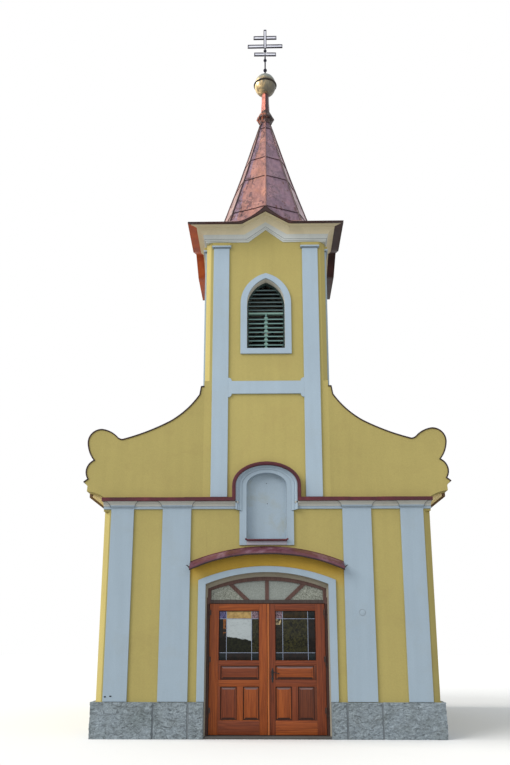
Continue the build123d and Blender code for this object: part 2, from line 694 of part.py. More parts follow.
RIDGE_FROM = FRONT + 2 * TOWER_DEEP
with BuildPart() as ridge_cap:
    with BuildSketch(Plane(origin=(0, RIDGE_FROM, 0), x_dir=(1, 0, 0), z_dir=(0, -1, 0))):
        with BuildLine():
            Polyline(
                (0, RIDGE_UNDER + ROOF_RISE),
                (RIDGE_CAP_HALF, RIDGE_UNDER + ROOF_RISE - RIDGE_CAP_HALF * SLOPE),
                (RIDGE_CAP_HALF, RIDGE_UNDER + ROOF_RISE - RIDGE_CAP_HALF * SLOPE + RIDGE_CAP_THICK),
                (0, RIDGE_UNDER + ROOF_RISE + RIDGE_CAP_THICK),
                (-RIDGE_CAP_HALF, RIDGE_UNDER + ROOF_RISE - RIDGE_CAP_HALF * SLOPE + RIDGE_CAP_THICK),
                (-RIDGE_CAP_HALF, RIDGE_UNDER + ROOF_RISE - RIDGE_CAP_HALF * SLOPE),
                close=True,
            )
        make_face()
    extrude(amount=-(REAR + VERGE_OVER - RIDGE_FROM))
ridge_cap.part.label = "ridge_cap"
export_step(ridge_cap.part, "parts/ridge_cap.step")

# Cove cornices under the side eaves
with BuildPart() as eaves_cornice_right:
    with BuildSketch(Plane(origin=(0, FRONT + KNEE_WALL, 0), x_dir=(1, 0, 0), z_dir=(0, -1, 0))):
        with BuildLine():
            Polyline(
                (HALF_WIDTH, EAVES_LOW),
                (HALF_WIDTH + EAVES_FILLET, EAVES_LOW),
                (HALF_WIDTH + EAVES_FILLET, EAVES_LOW + EAVES_FILLET),
            )
            ThreePointArc(
                (HALF_WIDTH + EAVES_FILLET, EAVES_LOW + EAVES_FILLET),
                (HALF_WIDTH + 95, EAVES_LOW + 160),
                (EAVE_X - EAVES_FILLET, EAVE_Z - EAVES_LIP),
            )
            Polyline(
                (EAVE_X - EAVES_FILLET, EAVE_Z - EAVES_LIP),
                (EAVE_X, EAVE_Z - EAVES_LIP),
                (EAVE_X, EAVE_Z),
                (HALF_WIDTH, roof_under(HALF_WIDTH)),
                (HALF_WIDTH, EAVES_LOW),
            )
        make_face()
    extrude(amount=-(NAVE_LENGTH - KNEE_WALL))
eaves_cornice_right.part.label = "eaves_cornice_right"
export_step(eaves_cornice_right.part, "parts/eaves_cornice_right.step")

with BuildPart() as eaves_cornice_left:
    mirror(eaves_cornice_right.part, about=Plane.YZ)
eaves_cornice_left.part.label = "eaves_cornice_left"
export_step(eaves_cornice_left.part, "parts/eaves_cornice_left.step")

# Front pilasters stand on the plinth
with BuildPart() as front_pilasters_left:
    with BuildSketch(FACADE):
        rect(-OUTER_PILASTER[1], PLINTH_TOP, -OUTER_PILASTER[0], PILASTER_TOP)
        rect(-INNER_PILASTER[1], PLINTH_TOP, -INNER_PILASTER[0], PILASTER_TOP)
    extrude(amount=TRIM_OUT)
front_pilasters_left.part.label = "front_pilasters_left"
export_step(front_pilasters_left.part, "parts/front_pilasters_left.step")

with BuildPart() as front_pilasters_right:
    mirror(front_pilasters_left.part, about=Plane.YZ)
front_pilasters_right.part.label = "front_pilasters_right"
export_step(front_pilasters_right.part, "parts/front_pilasters_right.step")

# Front cornice: strips between the capitals, which arch up round the niche
with BuildPart() as front_cornice:
    with BuildSketch(Plane.YZ.offset(-HALF_WIDTH)):
        with BuildLine():
            Polyline(
                (FRONT, CORNICE_LOW),
                (FRONT - CORNICE_FILLET, CORNICE_LOW),
                (FRONT - CORNICE_FILLET, CORNICE_LOW + 48),
                (FRONT - CORNICE_NECK, CORNICE_LOW + 52),
            )
            ThreePointArc(
                (FRONT - CORNICE_NECK, CORNICE_LOW + 52),
                (FRONT - 50, CORNICE_LOW + 95),
                (FRONT - CORNICE_OUT, CORNICE_LOW + 135),
            )
            Polyline(
                (FRONT - CORNICE_OUT, CORNICE_LOW + 135),
                (FRONT - CORNICE_OUT, CORNICE_HIGH),
                (FRONT, CORNICE_HIGH),
                (FRONT, CORNICE_LOW),
            )
        make_face()
    extrude(amount=2 * HALF_WIDTH)
    with BuildSketch(FACADE):
        rect(-BAND_ARCH_IN, CORNICE_LOW, BAND_ARCH_IN, CORNICE_HIGH)
    extrude(amount=BAND_OUT, mode=Mode.SUBTRACT)
    for capital_x, capital_width in (
        (-(OUTER_PILASTER[0] + OUTER_PILASTER[1]) / 2, OUTER_PILASTER[1] - OUTER_PILASTER[0]),
        (-(INNER_PILASTER[0] + INNER_PILASTER[1]) / 2, INNER_PILASTER[1] - INNER_PILASTER[0]),
        ((INNER_PILASTER[0] + INNER_PILASTER[1]) / 2, INNER_PILASTER[1] - INNER_PILASTER[0]),
        ((OUTER_PILASTER[0] + OUTER_PILASTER[1]) / 2, OUTER_PILASTER[1] - OUTER_PILASTER[0]),
    ):
        with BuildSketch(FACADE):
            with Locations((capital_x, CORNICE_LOW)):
                Rectangle(capital_width, PILASTER_TOP - CORNICE_LOW, align=FOOT)
        extrude(amount=TRIM_OUT, mode=Mode.SUBTRACT)
        for rise, flare in CAPITAL_STEPS:
            with BuildSketch(Plane.XY.offset(PILASTER_TOP + rise)):
                with Locations((capital_x, FRONT)):
                    Rectangle(
                        capital_width + 2 * flare, TRIM_OUT + flare, align=(Align.CENTER, Align.MAX)
                    )
        loft(ruled=True)
    with BuildSketch(FACADE):
        rounded(BAND_ARCH_IN, CORNICE_LOW, NICHE_SPRING, BAND_ARCH_IN_CROWN)
        rounded(ARCHIVOLT_IN, CORNICE_LOW, NICHE_SPRING, ARCHIVOLT_IN_CROWN, mode=Mode.SUBTRACT)
    extrude(amount=CORNICE_OUT - ARCHIVOLT_LESS)
    with BuildSketch(FACADE):
        rounded(BAND_ARCH_IN, CORNICE_LOW, NICHE_SPRING, BAND_ARCH_IN_CROWN)
        rounded(ARCHIVOLT_IN + 45, CORNICE_LOW, NICHE_SPRING, ARCHIVOLT_IN_CROWN + 25, mode=Mode.SUBTRACT)
    extrude(amount=CORNICE_OUT)
front_cornice.part.label = "front_cornice"
export_step(front_cornice.part, "parts/front_cornice.step")

# Sheet metal band over the cornice, arched round the niche
with BuildPart() as metal_band:
    with BuildSketch(Plane.YZ.offset(-BAND_HALF)):
        with BuildLine():
            Polyline(
                (FRONT, CORNICE_HIGH),
                (FRONT - BAND_OUT, CORNICE_HIGH),
                (FRONT - BAND_OUT, BAND_TOP - BAND_FALL),
                (FRONT, BAND_TOP),
                close=True,
            )
        make_face()
    extrude(amount=2 * BAND_HALF)
    with BuildSketch(FACADE):
        rounded(BAND_ARCH_OUT, CORNICE_HIGH, NICHE_SPRING, BAND_ARCH_OUT_CROWN)
    extrude(amount=BAND_OUT)
    with BuildSketch(FACADE):
        rounded(BAND_ARCH_IN, CORNICE_LOW, NICHE_SPRING, BAND_ARCH_IN_CROWN)
        rect(-BAND_ARCH_OUT, CORNICE_LOW - 100, BAND_ARCH_OUT, CORNICE_HIGH)
    extrude(amount=BAND_OUT, mode=Mode.SUBTRACT)
metal_band.part.label = "metal_band"
export_step(metal_band.part, "parts/metal_band.step")

# Niche surround and its metal sill
with BuildPart() as niche_surround:
    with BuildSketch(FACADE):
        rect(-NICHE_TRIM_HALF, NICHE_TRIM_LOW, NICHE_TRIM_HALF, CORNICE_LOW)
        rounded(ARCHIVOLT_IN, NICHE_LOW, NICHE_SPRING, ARCHIVOLT_IN_CROWN)
        rounded(NICHE_HALF, NICHE_LOW, NICHE_SPRING, NICHE_CROWN, mode=Mode.SUBTRACT)
    extrude(amount=TRIM_OUT)
niche_surround.part.label = "niche_surround"
export_step(niche_surround.part, "parts/niche_surround.step")

with BuildPart() as niche_sill:
    with BuildSketch(Plane(origin=(0, FRONT - TRIM_OUT, 0), x_dir=(1, 0, 0), z_dir=(0, -1, 0))):
        rect(-NICHE_SILL_HALF, NICHE_SILL_LOW, NICHE_SILL_HALF, NICHE_SILL_HIGH)
    extrude(amount=NICHE_SILL_OUT - TRIM_OUT)
niche_sill.part.label = "niche_sill"
export_step(niche_sill.part, "parts/niche_sill.step")

# Door surround and the sheet metal hood above it
with BuildPart() as door_surround:
    with BuildSketch(FACADE):
        arched(SURROUND_HALF, PLINTH_TOP, SURROUND_SPRING, SURROUND_CROWN)
        arched(DOOR_HALF, 0, DOOR_SPRING, DOOR_CROWN, mode=Mode.SUBTRACT)
    extrude(amount=TRIM_OUT)
door_surround.part.label = "door_surround"
export_step(door_surround.part, "parts/door_surround.step")

with BuildPart() as door_canopy:
    with BuildSketch(FACADE):
        with BuildLine():
            Line((-HOOD_HALF, HOOD_WALL_END - HOOD_THICK), (-HOOD_HALF, HOOD_WALL_END))
            ThreePointArc((-HOOD_HALF, HOOD_WALL_END), (0, HOOD_WALL_CROWN), (HOOD_HALF, HOOD_WALL_END))
            Line((HOOD_HALF, HOOD_WALL_END), (HOOD_HALF, HOOD_WALL_END - HOOD_THICK))
            ThreePointArc(
                (HOOD_HALF, HOOD_WALL_END - HOOD_THICK),
                (0, HOOD_WALL_CROWN - HOOD_THICK),
                (-HOOD_HALF, HOOD_WALL_END - HOOD_THICK),
            )
        make_face()
    with BuildSketch(Plane(origin=(0, FRONT - HOOD_OUT, 0), x_dir=(1, 0, 0), z_dir=(0, -1, 0))):
        with BuildLine():
            Line((-HOOD_HALF, HOOD_LIP_END), (-HOOD_HALF, HOOD_LIP_END + HOOD_THICK))
            ThreePointArc(
                (-HOOD_HALF, HOOD_LIP_END + HOOD_THICK),
                (0, HOOD_LIP_CROWN + HOOD_THICK),
                (HOOD_HALF, HOOD_LIP_END + HOOD_THICK),
            )
            Line((HOOD_HALF, HOOD_LIP_END + HOOD_THICK), (HOOD_HALF, HOOD_LIP_END))
            ThreePointArc((HOOD_HALF, HOOD_LIP_END), (0, HOOD_LIP_CROWN), (-HOOD_HALF, HOOD_LIP_END))
        make_face()
    loft()
door_canopy.part.label = "door_canopy"
export_step(door_canopy.part, "parts/door_canopy.step")

# Door frame: jambs, transom, arched head, fanlight bars and the stops behind the leaves
FRAME_PLANE = Plane(origin=(0, FRONT + REVEAL, 0), x_dir=(1, 0, 0), z_dir=(0, -1, 0))
LEAF_FRONT = FRONT + REVEAL + LEAF_SET
LEAF_BACK = LEAF_FRONT + LEAF_THICK
STOP_FRONT = LEAF_BACK + STOP_BEHIND
with BuildPart() as door_frame:
    with BuildSketch(FRAME_PLANE):
        arched(DOOR_HALF, FLOOR_THICK, DOOR_SPRING, DOOR_CROWN)
        rect(-OPENING_HALF, FLOOR_THICK, OPENING_HALF, TRANSOM_LOW, mode=Mode.SUBTRACT)
        arched(FAN_HALF, TRANSOM_HIGH, FAN_HEAD_SPRING, FAN_HEAD_CROWN, mode=Mode.SUBTRACT)
    extrude(amount=-FRAME_DEPTH)
    with BuildSketch(Plane(origin=(0, STOP_FRONT, 0), x_dir=(1, 0, 0), z_dir=(0, -1, 0))):
        rect(-OPENING_HALF, FLOOR_THICK, OPENING_HALF, TRANSOM_LOW)
        rect(
            -OPENING_HALF + STOP_WIDTH,
            FLOOR_THICK,
            OPENING_HALF - STOP_WIDTH,
            TRANSOM_LOW - STOP_WIDTH,
            mode=Mode.SUBTRACT,
        )
    extrude(amount=-STOP_DEPTH)
    with BuildSketch(FRAME_PLANE.offset(-FAN_BAR_SET)):
        rect(-FAN_BAR / 2, TRANSOM_LOW + 20, FAN_BAR / 2, DOOR_CROWN - 30)
        for side in (-1, 1):
            with BuildLine():
                Polyline(
                    (side * FAN_BAR_HEAD[0], TRANSOM_HIGH + FAN_BAR_RISE),
                    (side * FAN_BAR_HEAD[1], TRANSOM_HIGH + FAN_BAR_RISE),
                    (side * FAN_BAR_FOOT[1], TRANSOM_HIGH - 20),
                    (side * FAN_BAR_FOOT[0], TRANSOM_HIGH - 20),
                    close=True,
                )
            make_face()
    extrude(amount=-FAN_BAR_DEPTH)
    with BuildSketch(FRAME_PLANE.offset(-FAN_GLASS_SET)):
        arched(
            FAN_HALF + GLASS_GROOVE,
            TRANSOM_HIGH - GLASS_GROOVE,
            FAN_HEAD_SPRING,
            FAN_HEAD_CROWN + GLASS_GROOVE,
        )
    extrude(amount=-GLASS_THICK, mode=Mode.SUBTRACT)
door_frame.part.label = "door_frame"
export_step(door_frame.part, "parts/door_frame.step")

with BuildPart() as fanlight_glass:
    with BuildSketch(FRAME_PLANE.offset(-FAN_GLASS_SET)):
        arched(
            FAN_HALF + GLASS_GROOVE,
            TRANSOM_HIGH - GLASS_GROOVE,
            FAN_HEAD_SPRING,
            FAN_HEAD_CROWN + GLASS_GROOVE,
        )
    extrude(amount=-GLASS_THICK)
fanlight_glass.part.label = "fanlight_glass"
export_step(fanlight_glass.part, "parts/fanlight_glass.step")

# Door leaves: glazed above, panelled below
LEAF_PLANE = Plane(origin=(0, LEAF_FRONT, 0), x_dir=(1, 0, 0), z_dir=(0, -1, 0))
with BuildPart() as door_leaf_left:
    with BuildSketch(LEAF_PLANE):
        rect(-LEAF_OUTER, LEAF_LOW, -LEAF_INNER, LEAF_HIGH)
        rect(-GLASS_OUTER, GLASS_LOW, -GLASS_INNER, GLASS_HIGH, mode=Mode.SUBTRACT)
    extrude(amount=-LEAF_THICK)
    with BuildSketch(LEAF_PLANE.offset(-(LEAF_THICK - GLASS_THICK) / 2)):
        rect(
            -GLASS_OUTER - GLASS_GROOVE,
            GLASS_LOW - GLASS_GROOVE,
            -GLASS_INNER + GLASS_GROOVE,
            GLASS_HIGH + GLASS_GROOVE,
        )
    extrude(amount=-GLASS_THICK, mode=Mode.SUBTRACT)
    for panel_face, inward in ((LEAF_PLANE, -1), (LEAF_PLANE.offset(-LEAF_THICK), 1)):
        with BuildSketch(panel_face):
            rect(-PANEL_OUTER, MID_PANEL_LOW, -PANEL_INNER, MID_PANEL_HIGH)
            rect(
                -PANEL_OUTER,
                LOW_PANEL_LOW,
                -LOW_PANEL_SPLIT - LOW_PANEL_STILE / 2,
                LOW_PANEL_HIGH,
            )
            rect(
                -LOW_PANEL_SPLIT + LOW_PANEL_STILE / 2,
                LOW_PANEL_LOW,
                -PANEL_INNER,
                LOW_PANEL_HIGH,
            )
        extrude(amount=inward * PANEL_SUNK, mode=Mode.SUBTRACT)
        with BuildSketch(panel_face.offset(inward * PANEL_SUNK)):
            rect(
                -PANEL_OUTER + PANEL_FIELD_IN,
                MID_PANEL_LOW + PANEL_FIELD_IN,
                -PANEL_INNER - PANEL_FIELD_IN,
                MID_PANEL_HIGH - PANEL_FIELD_IN,
            )
            rect(
                -PANEL_OUTER + PANEL_FIELD_IN,
                LOW_PANEL_LOW + PANEL_FIELD_IN,
                -LOW_PANEL_SPLIT - LOW_PANEL_STILE / 2 - PANEL_FIELD_IN,
                LOW_PANEL_HIGH - PANEL_FIELD_IN,
            )
            rect(
                -LOW_PANEL_SPLIT + LOW_PANEL_STILE / 2 + PANEL_FIELD_IN,
                LOW_PANEL_LOW + PANEL_FIELD_IN,
                -PANEL_INNER - PANEL_FIELD_IN,
                LOW_PANEL_HIGH - PANEL_FIELD_IN,
            )
        extrude(amount=-inward * PANEL_FIELD_RISE)
door_leaf_left.part.label = "door_leaf_left"
export_step(door_leaf_left.part, "parts/door_leaf_left.step")

with BuildPart() as door_leaf_right:
    mirror(door_leaf_left.part, about=Plane.YZ)
    with Locations(Location((PLATE_X, LEAF_FRONT + LEAF_THICK / 2, LEVER_Z), (90, 0, 0))):
        Cylinder(SPINDLE_HOLE_R, 2 * LEAF_THICK, mode=Mode.SUBTRACT)
door_leaf_right.part.label = "door_leaf_right"
export_step(door_leaf_right.part, "parts/door_leaf_right.step")

with BuildPart() as leaf_glass_left:
    with BuildSketch(LEAF_PLANE.offset(-(LEAF_THICK - GLASS_THICK) / 2)):
        rect(
            -GLASS_OUTER - GLASS_GROOVE,
            GLASS_LOW - GLASS_GROOVE,
            -GLASS_INNER + GLASS_GROOVE,
            GLASS_HIGH + GLASS_GROOVE,
        )
    extrude(amount=-GLASS_THICK)
leaf_glass_left.part.label = "leaf_glass_left"
export_step(leaf_glass_left.part, "parts/leaf_glass_left.step")

with BuildPart() as leaf_glass_right:
    mirror(leaf_glass_left.part, about=Plane.YZ)
leaf_glass_right.part.label = "leaf_glass_right"
export_step(leaf_glass_right.part, "parts/leaf_glass_right.step")

# Hinges: three knuckles with straps on the outer face of each leaf
HINGE_X = OPENING_HALF - LEAF_SIDE_GAP / 2
HINGE_Y = LEAF_FRONT - HINGE_OUT
with BuildPart() as door_hinges_left:
    for hinge_z in HINGE_HEIGHTS:
        with Locations((-HINGE_X, HINGE_Y, hinge_z)):
            Cylinder(HINGE_R, HINGE_LENGTH, align=(Align.CENTER, Align.CENTER, Align.MIN))
        with Locations((-HINGE_X, HINGE_Y, hinge_z + STRAP_SHORTER)):
            Box(HINGE_WEB, HINGE_OUT, HINGE_LENGTH - 2 * STRAP_SHORTER, align=LOW_CORNER)
        with Locations((-HINGE_X + 4, LEAF_FRONT - STRAP_THICK, hinge_z + STRAP_SHORTER)):
            Box(STRAP_LENGTH, STRAP_THICK, HINGE_LENGTH - 2 * STRAP_SHORTER, align=LOW_CORNER)
        with Locations((-HINGE_X, HINGE_Y, hinge_z)):
            Cylinder(
                PIN_R + RUNNING,
                HINGE_LENGTH,
                align=(Align.CENTER, Align.CENTER, Align.MIN),
                mode=Mode.SUBTRACT,
            )
door_hinges_left.part.label = "door_hinges_left"
export_step(door_hinges_left.part, "parts/door_hinges_left.step")

with BuildPart() as door_hinges_right:
    mirror(door_hinges_left.part, about=Plane.YZ)
door_hinges_right.part.label = "door_hinges_right"
export_step(door_hinges_right.part, "parts/door_hinges_right.step")

# Gudgeons on the frame, whose pins stand in the knuckles of the leaves
with BuildPart() as door_hinge_pins:
    for side in (-1, 1):
        for hinge_z in HINGE_HEIGHTS:
            with Locations((side * HINGE_X, HINGE_Y, hinge_z - RUNNING - GUDGEON_LENGTH)):
                Cylinder(HINGE_R, GUDGEON_LENGTH, align=(Align.CENTER, Align.CENTER, Align.MIN))
                Cylinder(
                    PIN_R, GUDGEON_LENGTH + PIN_LENGTH, align=(Align.CENTER, Align.CENTER, Align.MIN)
                )
            with BuildSketch(Plane.XY.offset(hinge_z - RUNNING - GUDGEON_LENGTH + 5)):
                rect(side * HINGE_X, HINGE_Y - 4, side * (HINGE_X + 10), FRONT + REVEAL)
                rect(
                    side * OPENING_HALF,
                    FRONT + REVEAL - STRAP_THICK,
                    side * (HINGE_X + GUDGEON_PLATE),
                    FRONT + REVEAL,
                )
            extrude(amount=GUDGEON_LENGTH - 10)
door_hinge_pins.part.label = "door_hinge_pins"
export_step(door_hinge_pins.part, "parts/door_hinge_pins.step")

# Handle: a plate on each face and one lever through the leaf
with BuildPart() as handle_plates:
    with BuildSketch(LEAF_PLANE):
        with Locations((PLATE_X, (PLATE_LOW + PLATE_HIGH) / 2)):
            RectangleRounded(PLATE_WIDTH, PLATE_HIGH - PLATE_LOW, PLATE_CORNER)
        with Locations((PLATE_X, LEVER_Z)):
            Circle(SPINDLE_R + RUNNING, mode=Mode.SUBTRACT)
    extrude(amount=PLATE_THICK)
    with BuildSketch(LEAF_PLANE.offset(-LEAF_THICK)):
        with Locations((PLATE_X, (PLATE_LOW + PLATE_HIGH) / 2)):
            RectangleRounded(PLATE_WIDTH, PLATE_HIGH - PLATE_LOW, PLATE_CORNER)
        with Locations((PLATE_X, LEVER_Z)):
            Circle(SPINDLE_R + RUNNING, mode=Mode.SUBTRACT)
    extrude(amount=-PLATE_THICK)
handle_plates.part.label = "handle_plates"
export_step(handle_plates.part, "parts/handle_plates.step")

with BuildPart() as door_lever:
    with BuildSketch(LEAF_PLANE.offset(LEVER_OUT)):
        with Locations((PLATE_X, LEVER_Z)):
            Circle(SPINDLE_R)
    extrude(amount=-(LEAF_THICK + 2 * LEVER_OUT))
    for grip_y in (LEAF_FRONT - LEVER_OUT, LEAF_BACK + LEVER_OUT):
        with Locations((PLATE_X - GRIP_WIDE / 2, grip_y, LEVER_Z)):
            Box(
                LEVER_LENGTH + GRIP_WIDE / 2,
                GRIP_THICK,
                GRIP_WIDE,
                align=(Align.MIN, Align.CENTER, Align.CENTER),
            )
    fillet(door_lever.edges().filter_by(Axis.X), GRIP_THICK / 3)
door_lever.part.label = "door_lever"
export_step(door_lever.part, "parts/door_lever.step")

# Tower pilasters with small caps, and the cross bands between them with their quarter-round corners
with BuildPart() as tower_pilasters:
    for tower_face, face_half, pilaster_foot in zip(
        TOWER_FACES,
        TOWER_FACE_HALVES,
        (BAND_TOP, SIDE_PILASTER_FOOT, REAR_PILASTER_FOOT, SIDE_PILASTER_FOOT),
    ):
        pilaster_mid = face_half - CORNER_STRIP - TOWER_PILASTER_WIDTH / 2
        with BuildSketch(tower_face):
            with Locations((-pilaster_mid, pilaster_foot), (pilaster_mid, pilaster_foot)):
                Rectangle(TOWER_PILASTER_WIDTH, TOWER_PILASTER_TOP - pilaster_foot, align=FOOT)
        extrude(amount=TRIM_OUT)
        with BuildSketch(tower_face):
            with Locations((-pilaster_mid, TOWER_PILASTER_TOP), (pilaster_mid, TOWER_PILASTER_TOP)):
                Rectangle(TOWER_PILASTER_WIDTH + 2 * TOWER_CAP_OUT, TOWER_CAP_HEIGHT, align=FOOT)
        extrude(amount=TRIM_OUT + TOWER_CAP_OUT)
    with BuildSketch(FACADE):
        rect(-TOWER_HALF - 2 * TRIM_OUT, BASE_TOP, TOWER_HALF + 2 * TRIM_OUT, WING_TOP + COPING_THICK)
    extrude(amount=-(KNEE_WALL + COPING_OVER), mode=Mode.SUBTRACT)
tower_pilasters.part.label = "tower_pilasters"
export_step(tower_pilasters.part, "parts/tower_pilasters.step")

with BuildPart() as tower_cross_bands:
    for tower_face, face_half in zip(TOWER_FACES, TOWER_FACE_HALVES):
        if tower_face is TOWER_FACES[2]:
            continue
        band_half = face_half - CORNER_STRIP - TOWER_PILASTER_WIDTH
        with BuildSketch(tower_face):
            rect(-band_half, CROSS_BAND_LOW, band_half, CROSS_BAND_HIGH)
            with Locations(
                (-band_half, CROSS_BAND_LOW),
                (band_half, CROSS_BAND_LOW),
                (-band_half, CROSS_BAND_HIGH),
                (band_half, CROSS_BAND_HIGH),
            ):
                Circle(CROSS_BAND_CORNER)
            rect(
                -band_half,
                CROSS_BAND_LOW - CROSS_BAND_CORNER,
                band_half,
                CROSS_BAND_HIGH + CROSS_BAND_CORNER,
                mode=Mode.INTERSECT,
            )
        extrude(amount=TRIM_OUT)
tower_cross_bands.part.label = "tower_cross_bands"
export_step(tower_cross_bands.part, "parts/tower_cross_bands.step")

# Tower window surrounds and louvres, one on each face
with BuildPart() as tower_window_surrounds:
    for tower_face in TOWER_FACES:
        with BuildSketch(tower_face):
            pointed(WIN_HALF + WIN_TRIM, WIN_LOW - WIN_TRIM_BELOW, WIN_SPRING, WIN_CROWN + WIN_TRIM_ABOVE)
            pointed(WIN_HALF, WIN_LOW, WIN_SPRING, WIN_CROWN, mode=Mode.SUBTRACT)
        extrude(amount=TRIM_OUT)
tower_window_surrounds.part.label = "tower_window_surrounds"
export_step(tower_window_surrounds.part, "parts/tower_window_surrounds.step")

LOWER_SLATS = round((LOUVRE_TRANSOM - WIN_LOW - LOUVRE_FRAME) / LOUVRE_PITCH)
LOWER_PITCH = (LOUVRE_TRANSOM - WIN_LOW - LOUVRE_FRAME) / LOWER_SLATS
UPPER_SLATS = round((WIN_CROWN - LOUVRE_TRANSOM - LOUVRE_FRAME) / LOUVRE_PITCH) - 1
UPPER_PITCH = (WIN_CROWN - LOUVRE_TRANSOM - LOUVRE_FRAME) / (UPPER_SLATS + 1)
with BuildPart() as tower_louvres:
    for tower_face in TOWER_FACES:
        with BuildSketch(tower_face.offset(-LOUVRE_SET)):
            pointed(WIN_HALF, WIN_LOW, WIN_SPRING, WIN_CROWN)
            pointed(
                WIN_HALF - LOUVRE_FRAME,
                WIN_LOW + LOUVRE_FRAME,
                WIN_SPRING,
                WIN_CROWN - LOUVRE_POINT,
                mode=Mode.SUBTRACT,
            )
            rect(-WIN_HALF, LOUVRE_TRANSOM, WIN_HALF, LOUVRE_TRANSOM + LOUVRE_FRAME)
            rect(-LOUVRE_FRAME / 2, WIN_LOW, LOUVRE_FRAME / 2, LOUVRE_TRANSOM)
        extrude(amount=-LOUVRE_DEPTH)
        with BuildSketch(tower_face.offset(-LOUVRE_SET - LOUVRE_SLAT_SET)):
            for slat in range(LOWER_SLATS):
                slat_z = WIN_LOW + LOUVRE_FRAME + slat * LOWER_PITCH
                rect(-WIN_HALF, slat_z, WIN_HALF, slat_z + LOWER_PITCH - LOUVRE_SLAT)
            for slat in range(UPPER_SLATS):
                slat_z = LOUVRE_TRANSOM + LOUVRE_FRAME + slat * UPPER_PITCH
                rect(-WIN_HALF, slat_z, WIN_HALF, slat_z + UPPER_PITCH - LOUVRE_SLAT)
            pointed(WIN_HALF, WIN_LOW, WIN_SPRING, WIN_CROWN, mode=Mode.INTERSECT)
        extrude(amount=-LOUVRE_SLAT_DEPTH)
tower_louvres.part.label = "tower_louvres"
export_step(tower_louvres.part, "parts/tower_louvres.step")

# Side windows: surround, timber frame and glass
with BuildPart() as side_window_surrounds:
    for side_face in SIDE_FACES:
        with BuildSketch(side_face):
            pointed(
                SIDE_WIN_HALF + SIDE_WIN_TRIM,
                SIDE_WIN_LOW - SIDE_WIN_TRIM,
                SIDE_WIN_SPRING,
                SIDE_WIN_CROWN + SIDE_WIN_TRIM,
            )
            pointed(SIDE_WIN_HALF, SIDE_WIN_LOW, SIDE_WIN_SPRING, SIDE_WIN_CROWN, mode=Mode.SUBTRACT)
        extrude(amount=TRIM_OUT)
side_window_surrounds.part.label = "side_window_surrounds"
export_step(side_window_surrounds.part, "parts/side_window_surrounds.step")

with BuildPart() as side_window_frames:
    for side_face in SIDE_FACES:
        with BuildSketch(side_face.offset(-SIDE_WIN_SET)):
            pointed(SIDE_WIN_HALF, SIDE_WIN_LOW, SIDE_WIN_SPRING, SIDE_WIN_CROWN)
            pointed(
                SIDE_WIN_HALF - SIDE_WIN_FRAME,
                SIDE_WIN_LOW + SIDE_WIN_FRAME,
                SIDE_WIN_SPRING,
                SIDE_WIN_CROWN - SIDE_WIN_POINT,
                mode=Mode.SUBTRACT,
            )
            rect(-SIDE_WIN_BAR / 2, SIDE_WIN_LOW, SIDE_WIN_BAR / 2, SIDE_WIN_CROWN - SIDE_WIN_POINT)
            rect(-SIDE_WIN_HALF, SIDE_WIN_SPRING - SIDE_WIN_BAR, SIDE_WIN_HALF, SIDE_WIN_SPRING)
            rect(
                -SIDE_WIN_HALF,
                SIDE_WIN_LOWER_BAR,
                SIDE_WIN_HALF,
                SIDE_WIN_LOWER_BAR + SIDE_WIN_THIN_BAR,
            )
        extrude(amount=-SIDE_WIN_DEPTH)
        with BuildSketch(side_face.offset(-SIDE_WIN_SET - SIDE_GLASS_SET)):
            pointed(
                SIDE_WIN_HALF - SIDE_WIN_FRAME + SIDE_GLASS_IN,
                SIDE_WIN_LOW + SIDE_WIN_FRAME - SIDE_GLASS_IN,
                SIDE_WIN_SPRING,
                SIDE_WIN_CROWN - SIDE_WIN_POINT + SIDE_GLASS_IN,
            )
        extrude(amount=-GLASS_THICK, mode=Mode.SUBTRACT)
side_window_frames.part.label = "side_window_frames"
export_step(side_window_frames.part, "parts/side_window_frames.step")

with BuildPart() as side_window_glass:
    for side_face in SIDE_FACES:
        with BuildSketch(side_face.offset(-SIDE_WIN_SET - SIDE_GLASS_SET)):
            pointed(
                SIDE_WIN_HALF - SIDE_WIN_FRAME + SIDE_GLASS_IN,
                SIDE_WIN_LOW + SIDE_WIN_FRAME - SIDE_GLASS_IN,
                SIDE_WIN_SPRING,
                SIDE_WIN_CROWN - SIDE_WIN_POINT + SIDE_GLASS_IN,
            )
        extrude(amount=-GLASS_THICK)
side_window_glass.part.label = "side_window_glass"
export_step(side_window_glass.part, "parts/side_window_glass.step")

# Tower cornice: a stepped cove that rises to a point in the middle of each side
TOWER_CENTRE = Plane(origin=(0, TOWER_MID_Y, 0), x_dir=(1, 0, 0), z_dir=(0, 0, 1))
ALONG_Y = Plane(origin=(0, TOWER_MID_Y, 0), x_dir=(1, 0, 0), z_dir=(0, -1, 0))
ALONG_X = Plane(origin=(0, TOWER_MID_Y, 0), x_dir=(0, 1, 0), z_dir=(1, 0, 0))


def gable_outline(foot, foot_z, rise):
    """Triangle that stands on a level."""
    with BuildLine() as outline:
        Polyline((-foot, foot_z), (foot, foot_z), (0, foot_z + rise), close=True)
    make_face(outline.edges())


